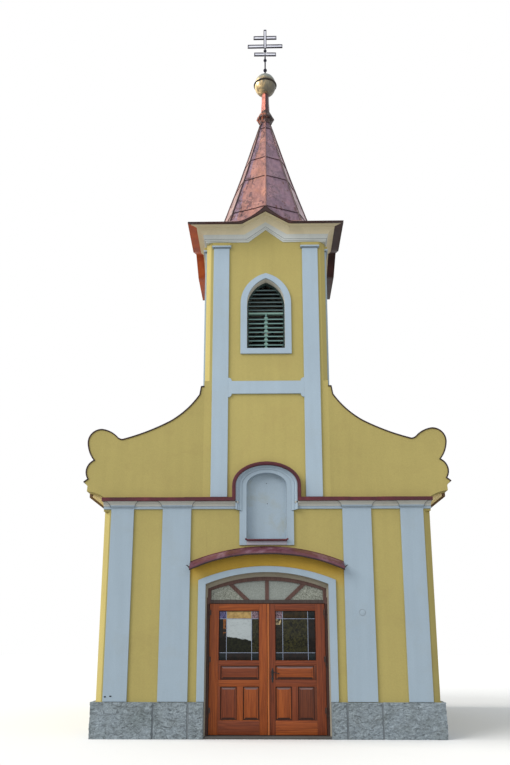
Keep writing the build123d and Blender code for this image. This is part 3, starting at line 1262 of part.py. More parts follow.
with BuildPart() as tower_cornice:
    with BuildSketch(TOWER_CENTRE.offset(TOWER_TOP)):
        Rectangle(2 * TOWER_HALF, 2 * TOWER_DEEP)
    extrude(amount=COVE_HEIGHT)
    for along, reach, gablet_foot in (
        (ALONG_Y, TOWER_DEEP + COVE_OUT, GABLET_FEET_HIGH[0]),
        (ALONG_X, TOWER_HALF + COVE_OUT, GABLET_FEET_HIGH[1]),
    ):
        with BuildSketch(along):
            gable_outline(gablet_foot, COVE_TOP, GABLET_RISE)
        extrude(amount=reach, both=True)
    for step in range(1, COVE_STEPS + 1):
        turn = math.radians(90 * (step - 0.5) / COVE_STEPS)
        ring_out = COVE_OUT * (1 - math.cos(math.radians(90 * step / COVE_STEPS)))
        ring_z = TOWER_TOP + COVE_HEIGHT * math.sin(turn)
        with BuildSketch(TOWER_CENTRE.offset(ring_z)):
            Rectangle(2 * (TOWER_HALF + ring_out), 2 * (TOWER_DEEP + ring_out))
        extrude(amount=COVE_TOP - ring_z)
    for step in range(COVE_STEPS):
        share = step / COVE_STEPS
        ring_out = COVE_OUT * (1 - math.cos(math.radians(90 * share)))
        base_z = TOWER_TOP + COVE_HEIGHT * math.sin(math.radians(90 * (step + 0.5) / COVE_STEPS))
        point_z = min(base_z + GABLET_RISE, COVE_TOP + GABLET_RISE - GABLET_LEFT_OVER)
        for tower_face, low_foot, high_foot in zip(TOWER_FACES, GABLET_FEET_LOW, GABLET_FEET_HIGH):
            foot = low_foot + (high_foot - low_foot) * share
            with BuildSketch(tower_face.offset(ring_out)):
                with BuildLine():
                    Polyline(
                        (-foot, TOWER_TOP - COVE_HEIGHT),
                        (foot, TOWER_TOP - COVE_HEIGHT),
                        (foot, base_z),
                        (0, point_z),
                        (-foot, base_z),
                        close=True,
                    )
                make_face()
            extrude(amount=COVE_OUT, mode=Mode.SUBTRACT)
    with BuildSketch(TOWER_CENTRE.offset(TOWER_TOP)):
        Rectangle(2 * (TOWER_HALF - TOWER_WALL), 2 * (TOWER_DEEP - TOWER_WALL))
    extrude(amount=COVE_HEIGHT + GABLET_RISE, mode=Mode.SUBTRACT)
tower_cornice.part.label = "tower_cornice"
export_step(tower_cornice.part, "parts/tower_cornice.step")

# Tower roof: a skirt from the eaves to the foot of the spire, with a curved gablet on each side
SKIRT_HALF = SPIRE_FOOT_R * SKIRT_SHARE
with BuildPart() as tower_roof:
    with BuildSketch(TOWER_CENTRE.offset(COVE_TOP)):
        Rectangle(2 * EAVES_HALF, 2 * EAVES_DEEP)
    extrude(amount=EAVES_TOP - COVE_TOP)
    with BuildSketch(TOWER_CENTRE.offset(EAVES_TOP)):
        Rectangle(2 * EAVES_HALF, 2 * EAVES_DEEP)
    with BuildSketch(TOWER_CENTRE.offset(SKIRT_TOP)):
        Rectangle(2 * SKIRT_HALF, 2 * SKIRT_HALF)
    loft(ruled=True)
    with BuildSketch(TOWER_CENTRE.offset(EAVES_TOP)):
        RegularPolygon(EAVES_HALF, 8)
    with BuildSketch(TOWER_CENTRE.offset(SKIRT_TOP)):
        RegularPolygon(SPIRE_FOOT_R, 8)
    loft(ruled=True)
    for tower_face, gablet_half, eaves_reach in zip(
        TOWER_FACES, GABLET_HALVES, (EAVES_DEEP, EAVES_HALF, EAVES_DEEP, EAVES_HALF)
    ):
        gablet_foot_z = EAVES_TOP - GABLET_FOOT_DROP
        with BuildSketch(tower_face.offset(EAVES_OVER)):
            with BuildLine():
                Polyline(
                    (-gablet_half, gablet_foot_z),
                    (-gablet_half, COVE_TOP),
                    (gablet_half, COVE_TOP),
                    (gablet_half, gablet_foot_z),
                )
                ThreePointArc(
                    (gablet_half, gablet_foot_z),
                    (gablet_half / 2, EAVES_TOP + GABLET_SAG),
                    (0, EAVES_TOP + GABLET_HEIGHT),
                )
                ThreePointArc(
                    (0, EAVES_TOP + GABLET_HEIGHT),
                    (-gablet_half / 2, EAVES_TOP + GABLET_SAG),
                    (-gablet_half, gablet_foot_z),
                )
            make_face()
        extrude(amount=-(eaves_reach - SPIRE_FOOT_R / 2))
    for along, gablet_foot in ((ALONG_Y, GABLET_FEET_HIGH[0]), (ALONG_X, GABLET_FEET_HIGH[1])):
        with BuildSketch(along):
            gable_outline(gablet_foot, COVE_TOP, GABLET_RISE)
        extrude(amount=2 * EAVES_DEEP, both=True, mode=Mode.SUBTRACT)
    with BuildSketch(TOWER_CENTRE.offset(COVE_TOP)):
        Rectangle(2 * (TOWER_HALF - TOWER_WALL), 2 * (TOWER_DEEP - TOWER_WALL))
    with BuildSketch(TOWER_CENTRE.offset(SKIRT_TOP)):
        Rectangle(2 * (SKIRT_HALF - SHEET), 2 * (SKIRT_HALF - SHEET))
    loft(ruled=True, mode=Mode.SUBTRACT)
tower_roof.part.label = "tower_roof"
export_step(tower_roof.part, "parts/tower_roof.step")

# Spire: eight-sided and hollow
with BuildPart() as spire:
    for spire_z, spire_r in (
        (SKIRT_TOP, SPIRE_FOOT_R),
        (SPIRE_BEND, SPIRE_BEND_R),
        (SPIRE_TOP, SPIRE_TOP_R),
    ):
        with BuildSketch(TOWER_CENTRE.offset(spire_z)):
            RegularPolygon(spire_r, 8)
    loft(ruled=True)
    for spire_z, spire_r in (
        (SKIRT_TOP, SPIRE_FOOT_R),
        (SPIRE_BEND, SPIRE_BEND_R),
        (SPIRE_TOP - SHEET, SPIRE_TOP_R),
    ):
        with BuildSketch(TOWER_CENTRE.offset(spire_z)):
            RegularPolygon(spire_r - SHEET, 8)
    loft(ruled=True, mode=Mode.SUBTRACT)
spire.part.label = "spire"
export_step(spire.part, "parts/spire.step")

with BuildPart() as spire_collar:
    for collar_z, collar_next, low_r, high_r in (
        (SPIRE_TOP, SPIRE_TOP + COLLAR_FLARE, SPIRE_TOP_R + 10, COLLAR_R - 10),
        (SPIRE_TOP + COLLAR_FLARE, SPIRE_TOP + COLLAR_STEP, COLLAR_R, COLLAR_R),
        (SPIRE_TOP + COLLAR_STEP, COLLAR_TOP - COLLAR_CAP, COLLAR_R - 20, COLLAR_R - 35),
        (COLLAR_TOP - COLLAR_CAP, COLLAR_TOP, COLLAR_R - 60, NECK_FOOT_R + 12),
    ):
        with BuildSketch(TOWER_CENTRE.offset(collar_z)):
            RegularPolygon(low_r, 8)
        with BuildSketch(TOWER_CENTRE.offset(collar_next)):
            RegularPolygon(high_r, 8)
        loft(ruled=True)
    with BuildSketch(TOWER_CENTRE.offset(COLLAR_TOP)):
        Circle(NECK_FOOT_R)
    with BuildSketch(TOWER_CENTRE.offset(NECK_TOP)):
        Circle(NECK_TOP_R)
    loft()
spire_collar.part.label = "spire_collar"
export_step(spire_collar.part, "parts/spire_collar.step")

BALL_CUT = math.sqrt(BALL_R**2 - (BALL_R - BALL_SEAT) ** 2)
BALL_NIB_Z = BALL_Z + math.sqrt(BALL_R**2 - BALL_NIB_R**2)
with BuildPart() as spire_ball:
    with BuildSketch(Plane(origin=(0, TOWER_MID_Y, 0), x_dir=(1, 0, 0), z_dir=(0, -1, 0))):
        with BuildLine():
            Line((0, NECK_TOP), (BALL_CUT, NECK_TOP))
            ThreePointArc((BALL_CUT, NECK_TOP), (BALL_R, BALL_Z), (BALL_NIB_R, BALL_NIB_Z))
            Polyline(
                (BALL_NIB_R, BALL_NIB_Z),
                (BALL_NIB_TOP_R, CROSS_FOOT + CROSS_IN),
                (0, CROSS_FOOT + CROSS_IN),
                (0, NECK_TOP),
            )
        make_face()
    revolve(axis=Axis((0, TOWER_MID_Y, 0), (0, 0, 1)))
    with BuildSketch(TOWER_CENTRE.offset(BALL_Z - BALL_RING_HEIGHT / 2)):
        Circle(BALL_R + BALL_RING)
    extrude(amount=BALL_RING_HEIGHT)
spire_ball.part.label = "spire_ball"
export_step(spire_ball.part, "parts/spire_ball.step")

with BuildPart() as cross:
    with Locations((0, TOWER_MID_Y, CROSS_FOOT + CROSS_IN)):
        Box(
            CROSS_BAR,
            CROSS_BAR,
            CROSS_TOP - CROSS_FOOT - CROSS_IN,
            align=(Align.CENTER, Align.CENTER, Align.MIN),
        )
    for arm_rise, arm_half in CROSS_ARMS:
        with Locations((0, TOWER_MID_Y, CROSS_FOOT + arm_rise)):
            Box(2 * arm_half, CROSS_BAR, CROSS_BAR)
    for knob_rise in KNOB_RISES:
        with Locations((0, TOWER_MID_Y, CROSS_FOOT + knob_rise)):
            Sphere(KNOB_R)
cross.part.label = "cross"
export_step(cross.part, "parts/cross.step")
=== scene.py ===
import math

import bmesh
import bpy
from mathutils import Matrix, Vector, noise


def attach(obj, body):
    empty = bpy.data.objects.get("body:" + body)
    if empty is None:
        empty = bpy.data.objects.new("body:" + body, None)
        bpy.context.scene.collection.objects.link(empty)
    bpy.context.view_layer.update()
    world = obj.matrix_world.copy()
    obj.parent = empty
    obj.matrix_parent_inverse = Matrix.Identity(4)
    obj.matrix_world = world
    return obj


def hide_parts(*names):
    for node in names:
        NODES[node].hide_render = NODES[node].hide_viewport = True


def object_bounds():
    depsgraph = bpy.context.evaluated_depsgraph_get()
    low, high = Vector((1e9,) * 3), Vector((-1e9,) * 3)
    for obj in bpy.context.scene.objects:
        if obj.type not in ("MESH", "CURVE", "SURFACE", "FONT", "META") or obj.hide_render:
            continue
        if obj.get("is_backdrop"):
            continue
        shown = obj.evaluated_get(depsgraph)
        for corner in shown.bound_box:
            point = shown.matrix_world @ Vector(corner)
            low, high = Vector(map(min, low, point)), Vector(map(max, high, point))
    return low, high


# The small chapel in metres: +Z up, the front faces -Y, the ground is Z = 0.
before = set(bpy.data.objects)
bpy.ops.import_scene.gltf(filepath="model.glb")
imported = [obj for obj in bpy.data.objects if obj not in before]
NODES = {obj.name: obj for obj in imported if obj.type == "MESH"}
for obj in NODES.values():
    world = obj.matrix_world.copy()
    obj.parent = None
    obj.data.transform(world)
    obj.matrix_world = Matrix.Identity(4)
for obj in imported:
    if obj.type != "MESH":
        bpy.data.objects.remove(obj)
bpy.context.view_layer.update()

FRONT, REAR = -3.25, 3.25
HALF_WIDTH = 2.9
TOWER_HALF, TOWER_DEEP = 1.145, 1.365
TOWER_MID = FRONT + TOWER_DEEP
TOWER_REAR = FRONT + 2 * TOWER_DEEP
# The tower's sides in turn, from the front round by the right: how far out, and half how wide
REACH = (TOWER_DEEP, TOWER_HALF, TOWER_DEEP, TOWER_HALF)
WIDE = (TOWER_HALF, TOWER_DEEP, TOWER_HALF, TOWER_DEEP)
LEAF_FRONT = FRONT + 0.125
LEAF_BACK = LEAF_FRONT + 0.055
SIDES = {-1: "left", 1: "right"}


def even(low, high, steps):
    """Numbers at equal steps from low to high."""
    return [low + (high - low) * i / steps for i in range(steps + 1)]


def angles(steps):
    return [2 * math.pi * i / steps for i in range(steps)]


def mm(*points):
    """Points given in millimetres, in metres."""
    return [tuple(v / 1000 for v in p) for p in points]


def drift(x, y, z):
    """Smooth noise at a place, from about -1 to 1."""
    return noise.noise(Vector((x, y, z)))


# Node helpers for the materials
def paint(colour):
    """A colour as a shader takes it: three numbers from 0 to 255 become linear, anything else stays."""
    if not isinstance(colour, tuple) or len(colour) != 3:
        return colour
    parts = [c / 255 for c in colour]
    return (*(c / 12.92 if c <= 0.04045 else ((c + 0.055) / 1.055) ** 2.4 for c in parts), 1.0)


def shade(colour, share):
    return (*(min(1.0, c * share) for c in paint(colour)[:3]), 1.0)


class Nodes:
    """Short calls that add nodes to a tree."""

    def __init__(self, tree):
        self.tree = tree
        tree.nodes.clear()

    def feed(self, socket, value):
        """Links another node's output to a socket, or sets its value."""
        if isinstance(value, bpy.types.NodeSocket):
            self.tree.links.new(value, socket)
        elif value is not None:
            socket.default_value = value

    def add(self, kind, inputs=(), **props):
        node = self.tree.nodes.new(kind)
        for key, value in props.items():
            setattr(node, key, value)
        for key, value in dict(inputs).items():
            self.feed(node.inputs[key], value)
        return node

    def math(self, kind, a, b=None):
        return self.add("ShaderNodeMath", {0: a, 1: b}, operation=kind).outputs[0]

    def rays(self, *kinds):
        """1 for rays of these kinds, else 0."""
        path = self.add("ShaderNodeLightPath").outputs
        seen = path[kinds[0]]
        for kind in kinds[1:]:
            seen = self.math("MAXIMUM", seen, path[kind])
        return seen


class Material(Nodes):
    """A node material whose coordinates are the object's own, in metres."""

    def __init__(self, name, **inputs):
        self.mat = bpy.data.materials.new(name)
        self.mat.use_nodes = True
        super().__init__(self.mat.node_tree)
        inputs = {key.replace("_", " "): value for key, value in inputs.items()}
        self.shader = self.add("ShaderNodeBsdfPrincipled", inputs)
        self.add("ShaderNodeOutputMaterial", {0: self.shader.outputs[0]})
        self.place = self.add("ShaderNodeTexCoord").outputs["Object"]
        self.xyz = self.add("ShaderNodeSeparateXYZ", {0: self.place}).outputs

    def stretch(self, *scale, source=None):
        return self.add("ShaderNodeMapping", {"Vector": source or self.place, "Scale": scale}).outputs[0]

    def noise(self, scale, detail=3.0, source=None, distortion=0.0, rough=0.5):
        return self.add("ShaderNodeTexNoise", {
            "Vector": source or self.place, "Scale": scale, "Detail": detail, "Roughness": rough,
            "Distortion": distortion}).outputs["Fac"]

    def plus(self, a, b, share):
        """a with a share of b added."""
        return self.math("ADD", a, self.math("MULTIPLY", b, share))

    def ramp(self, fac, *stops):
        """Tone at places along fac; a single number is a grey."""
        node = self.add("ShaderNodeValToRGB", {0: fac})
        band = node.color_ramp
        while len(band.elements) < len(stops):
            band.elements.new(0.5)
        for element, (at, tone) in zip(band.elements, stops):
            element.position = at
            element.color = paint(tone) if isinstance(tone, tuple) else (tone, tone, tone, 1)
        return node.outputs[0]

    def mix(self, fac, a, b, blend="MIX"):
        inputs = {0: fac, 6: paint(a), 7: paint(b)}
        return self.add("ShaderNodeMix", inputs, data_type="RGBA", blend_type=blend).outputs[2]

    def tint(self, fac, tone, factor):
        """The tone multiplied by a factor, as far as fac says."""
        return self.mix(fac, tone, self.mix(1.0, tone, factor, "MULTIPLY"))

    def inside(self, low, high):
        """1 inside a box of the part's own coordinates, else 0."""
        tests = [(kind, self.xyz[i], edge) for i in range(3)
                 for kind, edge in (("GREATER_THAN", low[i]), ("LESS_THAN", high[i])) if edge is not None]
        out = self.math(*tests[0])
        for test in tests[1:]:
            out = self.math("MULTIPLY", out, self.math(*test))
        return out

    def finish(self, tone, rough, height, distance, strength):
        """The material with its tone, roughness and relief."""
        relief = self.add("ShaderNodeBump", {"Distance": distance, "Strength": strength, "Height": height})
        for key, value in (("Base Color", tone), ("Roughness", rough), ("Normal", relief.outputs[0])):
            self.feed(self.shader.inputs[key], value)
        return self.mat


# Painted shade and bounce light: a gold tone on the wall in the hood's shade, below the line z = GOLD_CROWN
# - GOLD_BEND * x * x
GOLD_CROWN, GOLD_BEND = 3.15, 0.146
GOLD_HALF, GOLD_FOOT = 1.345, 2.3


def plaster(name, colour, stain=None, stain_share=0.0, grain=1.0, inner=None, boxes=(), under=None):
    """Painted render: fine grain, slow patches, faint run marks. Inside the boxes it has the inner colour,
    and in the hood's shade the colour given for it, as painted shade and bounce light."""
    m = Material(name, Roughness=0.9, Specular_IOR_Level=0.25)
    patches = m.noise(0.7, 5, rough=0.6)
    streaks = m.noise(1.0, 4, source=m.stretch(7, 7, 0.55))
    speckle = m.noise(70, 3)

    def coat(base):
        tone = m.ramp(patches, (0.3, shade(base, 0.93)), (0.7, shade(base, 1.06)))
        tone = m.mix(0.35, tone, m.ramp(streaks, (0.35, shade(base, 0.9)), (0.65, shade(base, 1.07))))
        return m.mix(0.25, tone, m.ramp(speckle, (0.35, shade(base, 0.82)), (0.65, shade(base, 1.14))))

    tone = coat(colour)
    if stain:
        spread = m.ramp(m.noise(1.6, 6, rough=0.7, distortion=0.6), (0.52, 0.0), (0.75, stain_share))
        tone = m.mix(spread, tone, stain)
    if boxes:
        lining = coat(inner)
        for low, high in boxes:
            tone = m.mix(m.inside(low, high), tone, lining)
    # Painted shade and bounce light: the gold tone below the hood's arc, fading in above GOLD_FOOT
    if under:
        arc = m.math("MULTIPLY", m.math("MULTIPLY", m.xyz["X"], m.xyz["X"]), -GOLD_BEND)
        room = m.math("SUBTRACT", m.math("ADD", arc, GOLD_CROWN), m.xyz["Z"])
        below = m.ramp(room, (0.0, 0.0), (0.02, 1.0))
        rise = m.ramp(m.math("SUBTRACT", m.xyz["Z"], GOLD_FOOT), (0.1, 0.0), (0.5, 1.0))
        width = m.inside((-GOLD_HALF, FRONT - 0.05, GOLD_FOOT), (GOLD_HALF, FRONT + 0.05, 3.2))
        tone = m.mix(m.math("MULTIPLY", m.math("MULTIPLY", below, rise), width), tone, coat(under))
    height = m.math("ADD", m.math("MULTIPLY", m.noise(260, 2), 0.5), m.noise(38, 4))
    return m.finish(tone, m.ramp(speckle, (0.3, 0.82), (0.7, 0.96)), height, 0.0022 * grain, 0.55)


def metal_paint(name, dark, mid, light, rough=0.36):
    """Painted sheet metal, a little dull in patches, with shallow waves."""
    m = Material(name, Roughness=rough, Coat_Weight=0.06, Coat_Roughness=0.25, Specular_IOR_Level=0.3)
    fade = m.noise(2.6, 5, rough=0.65, distortion=0.4)
    tone = m.ramp(fade, (0.3, dark), (0.52, mid), (0.75, light))
    fleck = m.ramp(m.noise(150, 2), (0.3, 0.86), (0.7, 1.08))
    gloss = m.ramp(fade, (0.3, rough - 0.06), (0.75, rough + 0.16))
    return m.finish(m.mix(1.0, tone, fleck, "MULTIPLY"), gloss, m.noise(5, 3), 0.012, 0.35)


def wood(name, along, dark, mid, light, shift, rough=0.36, zones=()):
    """Stained softwood under varnish: grain bands along one axis, fine pores and slow tone changes.
    Zones are (low, high, share) boxes whose tone is lighter or darker."""
    m = Material(name, Roughness=rough + 0.08, Coat_Weight=0.04, Coat_Roughness=0.2, Specular_IOR_Level=0.18)
    moved = m.add("ShaderNodeMapping", {"Vector": m.place, "Location": (shift, shift * 1.7, shift * 0.6)})

    def grain(lengthwise, crosswise):
        scale = [lengthwise if axis == along else crosswise for axis in "XYZ"]
        return m.stretch(*scale, source=moved.outputs[0])

    long = grain(1.3, 22)
    fibres = m.noise(1.0, 3, source=grain(5, 190))
    bands = m.add("ShaderNodeTexWave", {"Vector": long, "Scale": 0.55, "Distortion": 9.0, "Detail": 2.0},
                  bands_direction="X" if along != "X" else "Z").outputs["Fac"]
    slow = m.noise(1.0, 4, source=long, distortion=0.8)
    tone = m.ramp(slow, (0.28, dark), (0.5, mid), (0.74, light))
    tone = m.mix(0.38, tone, m.ramp(bands, (0.1, dark), (0.75, shade(light, 0.98))))
    tone = m.mix(0.22, tone, m.ramp(fibres, (0.38, shade(dark, 0.55)), (0.6, shade(light, 1.1))))
    for low, high, share in zones:
        tone = m.tint(m.inside(low, high), tone, share)
    gloss = m.ramp(slow, (0.3, rough - 0.05), (0.75, rough + 0.12))
    height = m.math("ADD", m.math("MULTIPLY", fibres, 0.7), m.math("MULTIPLY", bands, 0.3))
    return m.finish(tone, gloss, height, 0.0012, 0.5)


def iron_material(colour):
    m = Material("black_iron", Metallic=0.85)
    wear = m.noise(40, 4)
    tone = m.ramp(wear, (0.35, shade(colour, 0.6)), (0.7, shade(colour, 1.7)))
    return m.finish(tone, m.ramp(wear, (0.35, 0.34), (0.7, 0.62)), m.noise(180, 3), 0.0006, 0.5)


def stone_material():
    """Grey stone faced with coarse grit: light and dark grains, trowel lines, faint damp patches."""
    m = Material("plinth_stone", Roughness=0.9, Specular_IOR_Level=0.25)
    slow = m.plus(m.noise(2.6, 5, rough=0.6), m.xyz["X"], 0.008)
    tone = m.ramp(slow, (0.34, (126, 136, 140)), (0.5, (137, 147, 153)), (0.66, (145, 156, 164)))
    trowel = m.noise(1.0, 4, source=m.stretch(7, 7, 12), distortion=2.2, rough=0.55)
    scratch = m.noise(1.0, 3, source=m.stretch(4.5, 4.5, 15), distortion=2.8)
    grit = m.ramp(trowel, (0.34, 0.56), (0.45, 0.94), (0.55, 1.04), (0.68, 1.22))
    line = m.ramp(scratch, (0.468, 1.0), (0.5, 0.42), (0.532, 1.0))
    fine = m.ramp(m.noise(34, 4, rough=0.7), (0.38, 0.8), (0.5, 1.02), (0.62, 1.2))
    for share, marks in ((0.9, grit), (0.75, line), (0.85, fine)):
        tone = m.tint(share, tone, marks)
    damp = m.ramp(m.noise(3.2, 4), (0.55, 0.0), (0.76, 0.3))
    height = m.plus(m.math("MULTIPLY", trowel, 1.6), m.noise(30, 4, rough=0.75), 0.6)
    return m.finish(m.mix(damp, tone, (104, 106, 98)), None, height, 0.02, 1.0)


def floor_stone_material():
    m = Material("floor_stone", Roughness=0.7)
    slabs = m.add("ShaderNodeTexBrick", {
        "Vector": m.place, "Scale": 1.0, "Brick Width": 0.5, "Row Height": 0.5, "Mortar Size": 0.006,
        "Color1": paint((128, 124, 116)), "Color2": paint((112, 108, 102)), "Mortar": paint((74, 70, 66)),
    }, offset=0.5)
    veins = m.ramp(m.noise(6, 6, distortion=0.8), (0.35, 0.84), (0.7, 1.1))
    tone = m.mix(1.0, slabs.outputs["Color"], veins, "MULTIPLY")
    return m.finish(tone, None, m.noise(45, 4), 0.0015, 0.5)


def copper_material(name, plain, warm, dull, side=0.0, rough=0.36, scale=2.4):
    """Painted copper sheet: warmer and cooler patches, rubbed streaks, and dark creases of painted shade in
    places.
    """
    m = Material(name, Roughness=rough, Metallic=0.25, Coat_Weight=0.1, Coat_Roughness=0.3)
    clouds = m.noise(scale, 6, distortion=0.9, rough=0.62)
    # side shifts the tone along X, warmer on the left and duller on the right: painted light and shade.
    tone = m.ramp(m.plus(clouds, m.xyz["X"], side), (0.3, warm), (0.48, plain), (0.7, dull))
    rub = m.ramp(m.noise(1.0, 5, source=m.stretch(16, 16, 2.2), distortion=0.5), (0.38, 0.76), (0.62, 1.2))
    fold = m.noise(1.0, 3, source=m.stretch(7, 7, 3.4), distortion=1.4)
    line = m.ramp(fold, (0.45, 1.0), (0.5, 0.36), (0.55, 1.0))
    where = m.ramp(m.noise(2.1, 2), (0.46, 0.0), (0.56, 0.95))
    tone = m.tint(where, m.tint(0.7, tone, rub), line)
    gloss = m.ramp(clouds, (0.3, rough - 0.06), (0.7, rough + 0.12))
    dents = m.plus(m.noise(5.5, 2, distortion=0.6), m.noise(26, 3), 0.2)
    return m.finish(tone, gloss, dents, 0.03, 0.6)


def gilt_material():
    """Worn gilding: a painted highlight on the left, greyer and darker to the right as painted shade, and
    greenish grey towards the top.
    """
    m = Material("weathered_gilt", Metallic=0.5)
    worn = m.noise(1.0, 6, source=m.stretch(14, 14, 4), distortion=0.7)
    tone = m.ramp(m.plus(worn, m.xyz["X"], 1.5), (0.2, (246, 218, 160)), (0.34, (176, 150, 108)),
                  (0.5, (118, 110, 90)), (0.8, (96, 92, 84)))
    top = m.ramp(m.math("SUBTRACT", m.xyz["Z"], 13.8), (0.03, 0.0), (0.11, 0.8))
    gloss = m.ramp(worn, (0.3, 0.26), (0.7, 0.55))
    return m.finish(m.mix(top, tone, (124, 134, 130)), gloss, m.noise(24, 3), 0.004, 0.5)


def tile_material():
    m = Material("clay_tiles", Roughness=0.85)
    each = m.noise(1.0, 1.0, source=m.stretch(5.5, 5.6, 0.0))
    tone = m.ramp(each, (0.3, (126, 68, 52)), (0.5, (148, 84, 62)), (0.7, (166, 102, 78)))
    moss = m.ramp(m.noise(9, 6), (0.5, 0.0), (0.75, 0.6))
    tone = m.mix(moss, tone, (96, 84, 68))
    grains = m.ramp(m.noise(90, 3), (0.3, (110, 60, 48)), (0.7, (178, 112, 86)))
    return m.finish(m.mix(0.3, tone, grains), None, m.noise(80, 4), 0.002, 0.6)


def pane_material(name, dark, light, shine=0.16, scale=14.0, wobble=0.004, above=None, patch=None):
    """A pane of coloured glass, drawn opaque, kept dark as painted shade of the room behind, with a faintly
    uneven surface.
    above is the tone of a painted reflection over a sloping line, patch is (tone, low, high) of a painted
    lighter reflection."""
    m = Material(name, Specular_IOR_Level=shine)
    clouds = m.noise(scale, 4, distortion=1.2)
    tone = m.ramp(clouds, (0.38, dark), (0.64, light))
    if patch:
        shape = m.ramp(m.noise(9, 3, distortion=0.8), (0.44, 0.0), (0.52, 1.0))
        tone = m.mix(m.math("MULTIPLY", shape, m.inside(*patch[1:])), tone, patch[0])
    if above:
        line = m.plus(m.plus(m.xyz["Z"], m.xyz["X"], 0.186), m.noise(16, 3), 0.06)
        hill_reflection = m.ramp(m.math("MULTIPLY", m.math("SUBTRACT", line, 1.54), 8.0), (0.0, 0.0), (0.12, 1.0))
        twig_reflection = m.ramp(m.noise(1.0, 3, source=m.stretch(5, 5, 14), distortion=1.6), (0.485, 1.0), (0.5, 0.45),
                      (0.515, 1.0))
        tone = m.mix(hill_reflection, tone, m.tint(0.8, above, twig_reflection))
    gloss = m.ramp(clouds, (0.3, 0.06), (0.7, 0.18))
    return m.finish(tone, gloss, m.noise(scale * 0.7, 2), wobble, 0.4)


def fanlight_material():
    """Figured glass: fine in the two middle panes, coarse worm lines in the outer ones."""
    m = Material("figured_glass", Roughness=0.3)
    coarse = m.noise(46, 2, distortion=2.2)
    fine = m.noise(110, 2, distortion=1.0)
    lean = m.plus(m.math("ABSOLUTE", m.xyz["X"]), m.xyz["Z"], -1.0735)
    plain_tone = m.ramp(fine, (0.36, (108, 114, 108)), (0.64, (142, 148, 142)))
    worm_tone = m.ramp(coarse, (0.42, (76, 78, 66)), (0.56, (152, 156, 144)))
    tone = m.mix(m.math("GREATER_THAN", lean, -2.078), plain_tone, worm_tone)
    return m.finish(tone, None, m.plus(coarse, fine, 0.4), 0.003, 0.6)


# Render and stone
YELLOW, OCHRE, HOOD_SHADE_GOLD = (170, 156, 96), (150, 132, 84), (188, 152, 62)
PALE, INNER, TAUPE = (155, 171, 184), (188, 184, 172), (212, 208, 196)
TOWER_YELLOW, TOWER_PALE, TOWER_STAIN = shade(YELLOW, 1.08), shade(PALE, 1.12), (160, 168, 170)
NAVE_INSIDE = (
    ((-2.75, FRONT + 0.003, None), (2.75, REAR - 0.003, None)),
    ((-HALF_WIDTH + 0.003, FRONT + 0.12, None), (HALF_WIDTH - 0.003, REAR - 0.12, None)),
)
TOWER_INSIDE = (
    ((-1.0, FRONT + 0.003, None), (1.0, TOWER_REAR - 0.003, None)),
    ((-TOWER_HALF + 0.003, FRONT + 0.31, None), (TOWER_HALF - 0.003, TOWER_REAR - 0.31, None)),
)
OVER_CAPS = (((None, None, 8.985), (None, None, 9.2)),)
yellow_nave = plaster("yellow_render_nave", YELLOW, OCHRE, 0.3, inner=INNER, boxes=NAVE_INSIDE)
# The door's walls carry the painted gold shade under the hood.
yellow_with_hood_shade = plaster("yellow_render_door", YELLOW, OCHRE, 0.3, inner=INNER, boxes=NAVE_INSIDE, under=HOOD_SHADE_GOLD)
yellow_plain = plaster("yellow_render", YELLOW, OCHRE, 0.3)
# The side eaves cornices are pale cream as painted sunlight.
sunlit_yellow_eaves = plaster("yellow_render_eaves", (246, 226, 172), (214, 188, 128), 0.4)
yellow_tower = plaster("yellow_render_tower", TOWER_YELLOW, (165, 145, 92), 0.3, inner=TAUPE,
                       boxes=TOWER_INSIDE)
pale_trim = plaster("pale_trim", PALE, (150, 158, 160), 0.35, grain=0.8)
pale_tower = plaster("pale_trim_tower", TOWER_PALE, TOWER_STAIN, 0.3, grain=0.8)
pilaster_tower = plaster("pale_trim_pilasters", TOWER_PALE, TOWER_STAIN, 0.3, grain=0.8, inner=TOWER_YELLOW,
                         boxes=OVER_CAPS)
fillet_trim = plaster("fillet_trim", (200, 204, 202), (176, 178, 172), 0.4, grain=0.7)
# Grey lines and strips in this tone are painted shadow.
painted_shadow_grey = plaster("cap_shadow_grey", (96, 100, 106), grain=0.7)
# The cream tones of these hollows are painted warm bounce light on white paint.
cream_trim_bounce_light = plaster("cream_moulding", (182, 182, 176), (146, 138, 124), 0.5, grain=0.7)
cream_cove_bounce_light = plaster("cream_cove_bounce_light", (218, 206, 176), (190, 176, 146), 0.4, grain=0.7)
niche_back = plaster("niche_render", (153, 168, 180), (150, 150, 130), 0.6, grain=0.8)
reveal_paint = plaster("reveal_paint", (148, 141, 126), (126, 118, 104), 0.5, grain=0.6)
inner_paint = plaster("inner_render", INNER, grain=0.7)
sill_pink = plaster("pink_render", (168, 165, 176), (160, 140, 140), 0.6, grain=0.7)
sill_stone = plaster("sill_stone", (84, 82, 80), (60, 56, 52), 0.5, grain=2.0)
mortar = plaster("mortar", (150, 144, 132), grain=1.4)
plug_ring = plaster("plug_ring", (134, 142, 148), grain=0.7)
joint_grey = plaster("joint_grey", (130, 137, 142), (104, 110, 114), 0.5, grain=1.6)
stone = stone_material()
floor_stone = floor_stone_material()

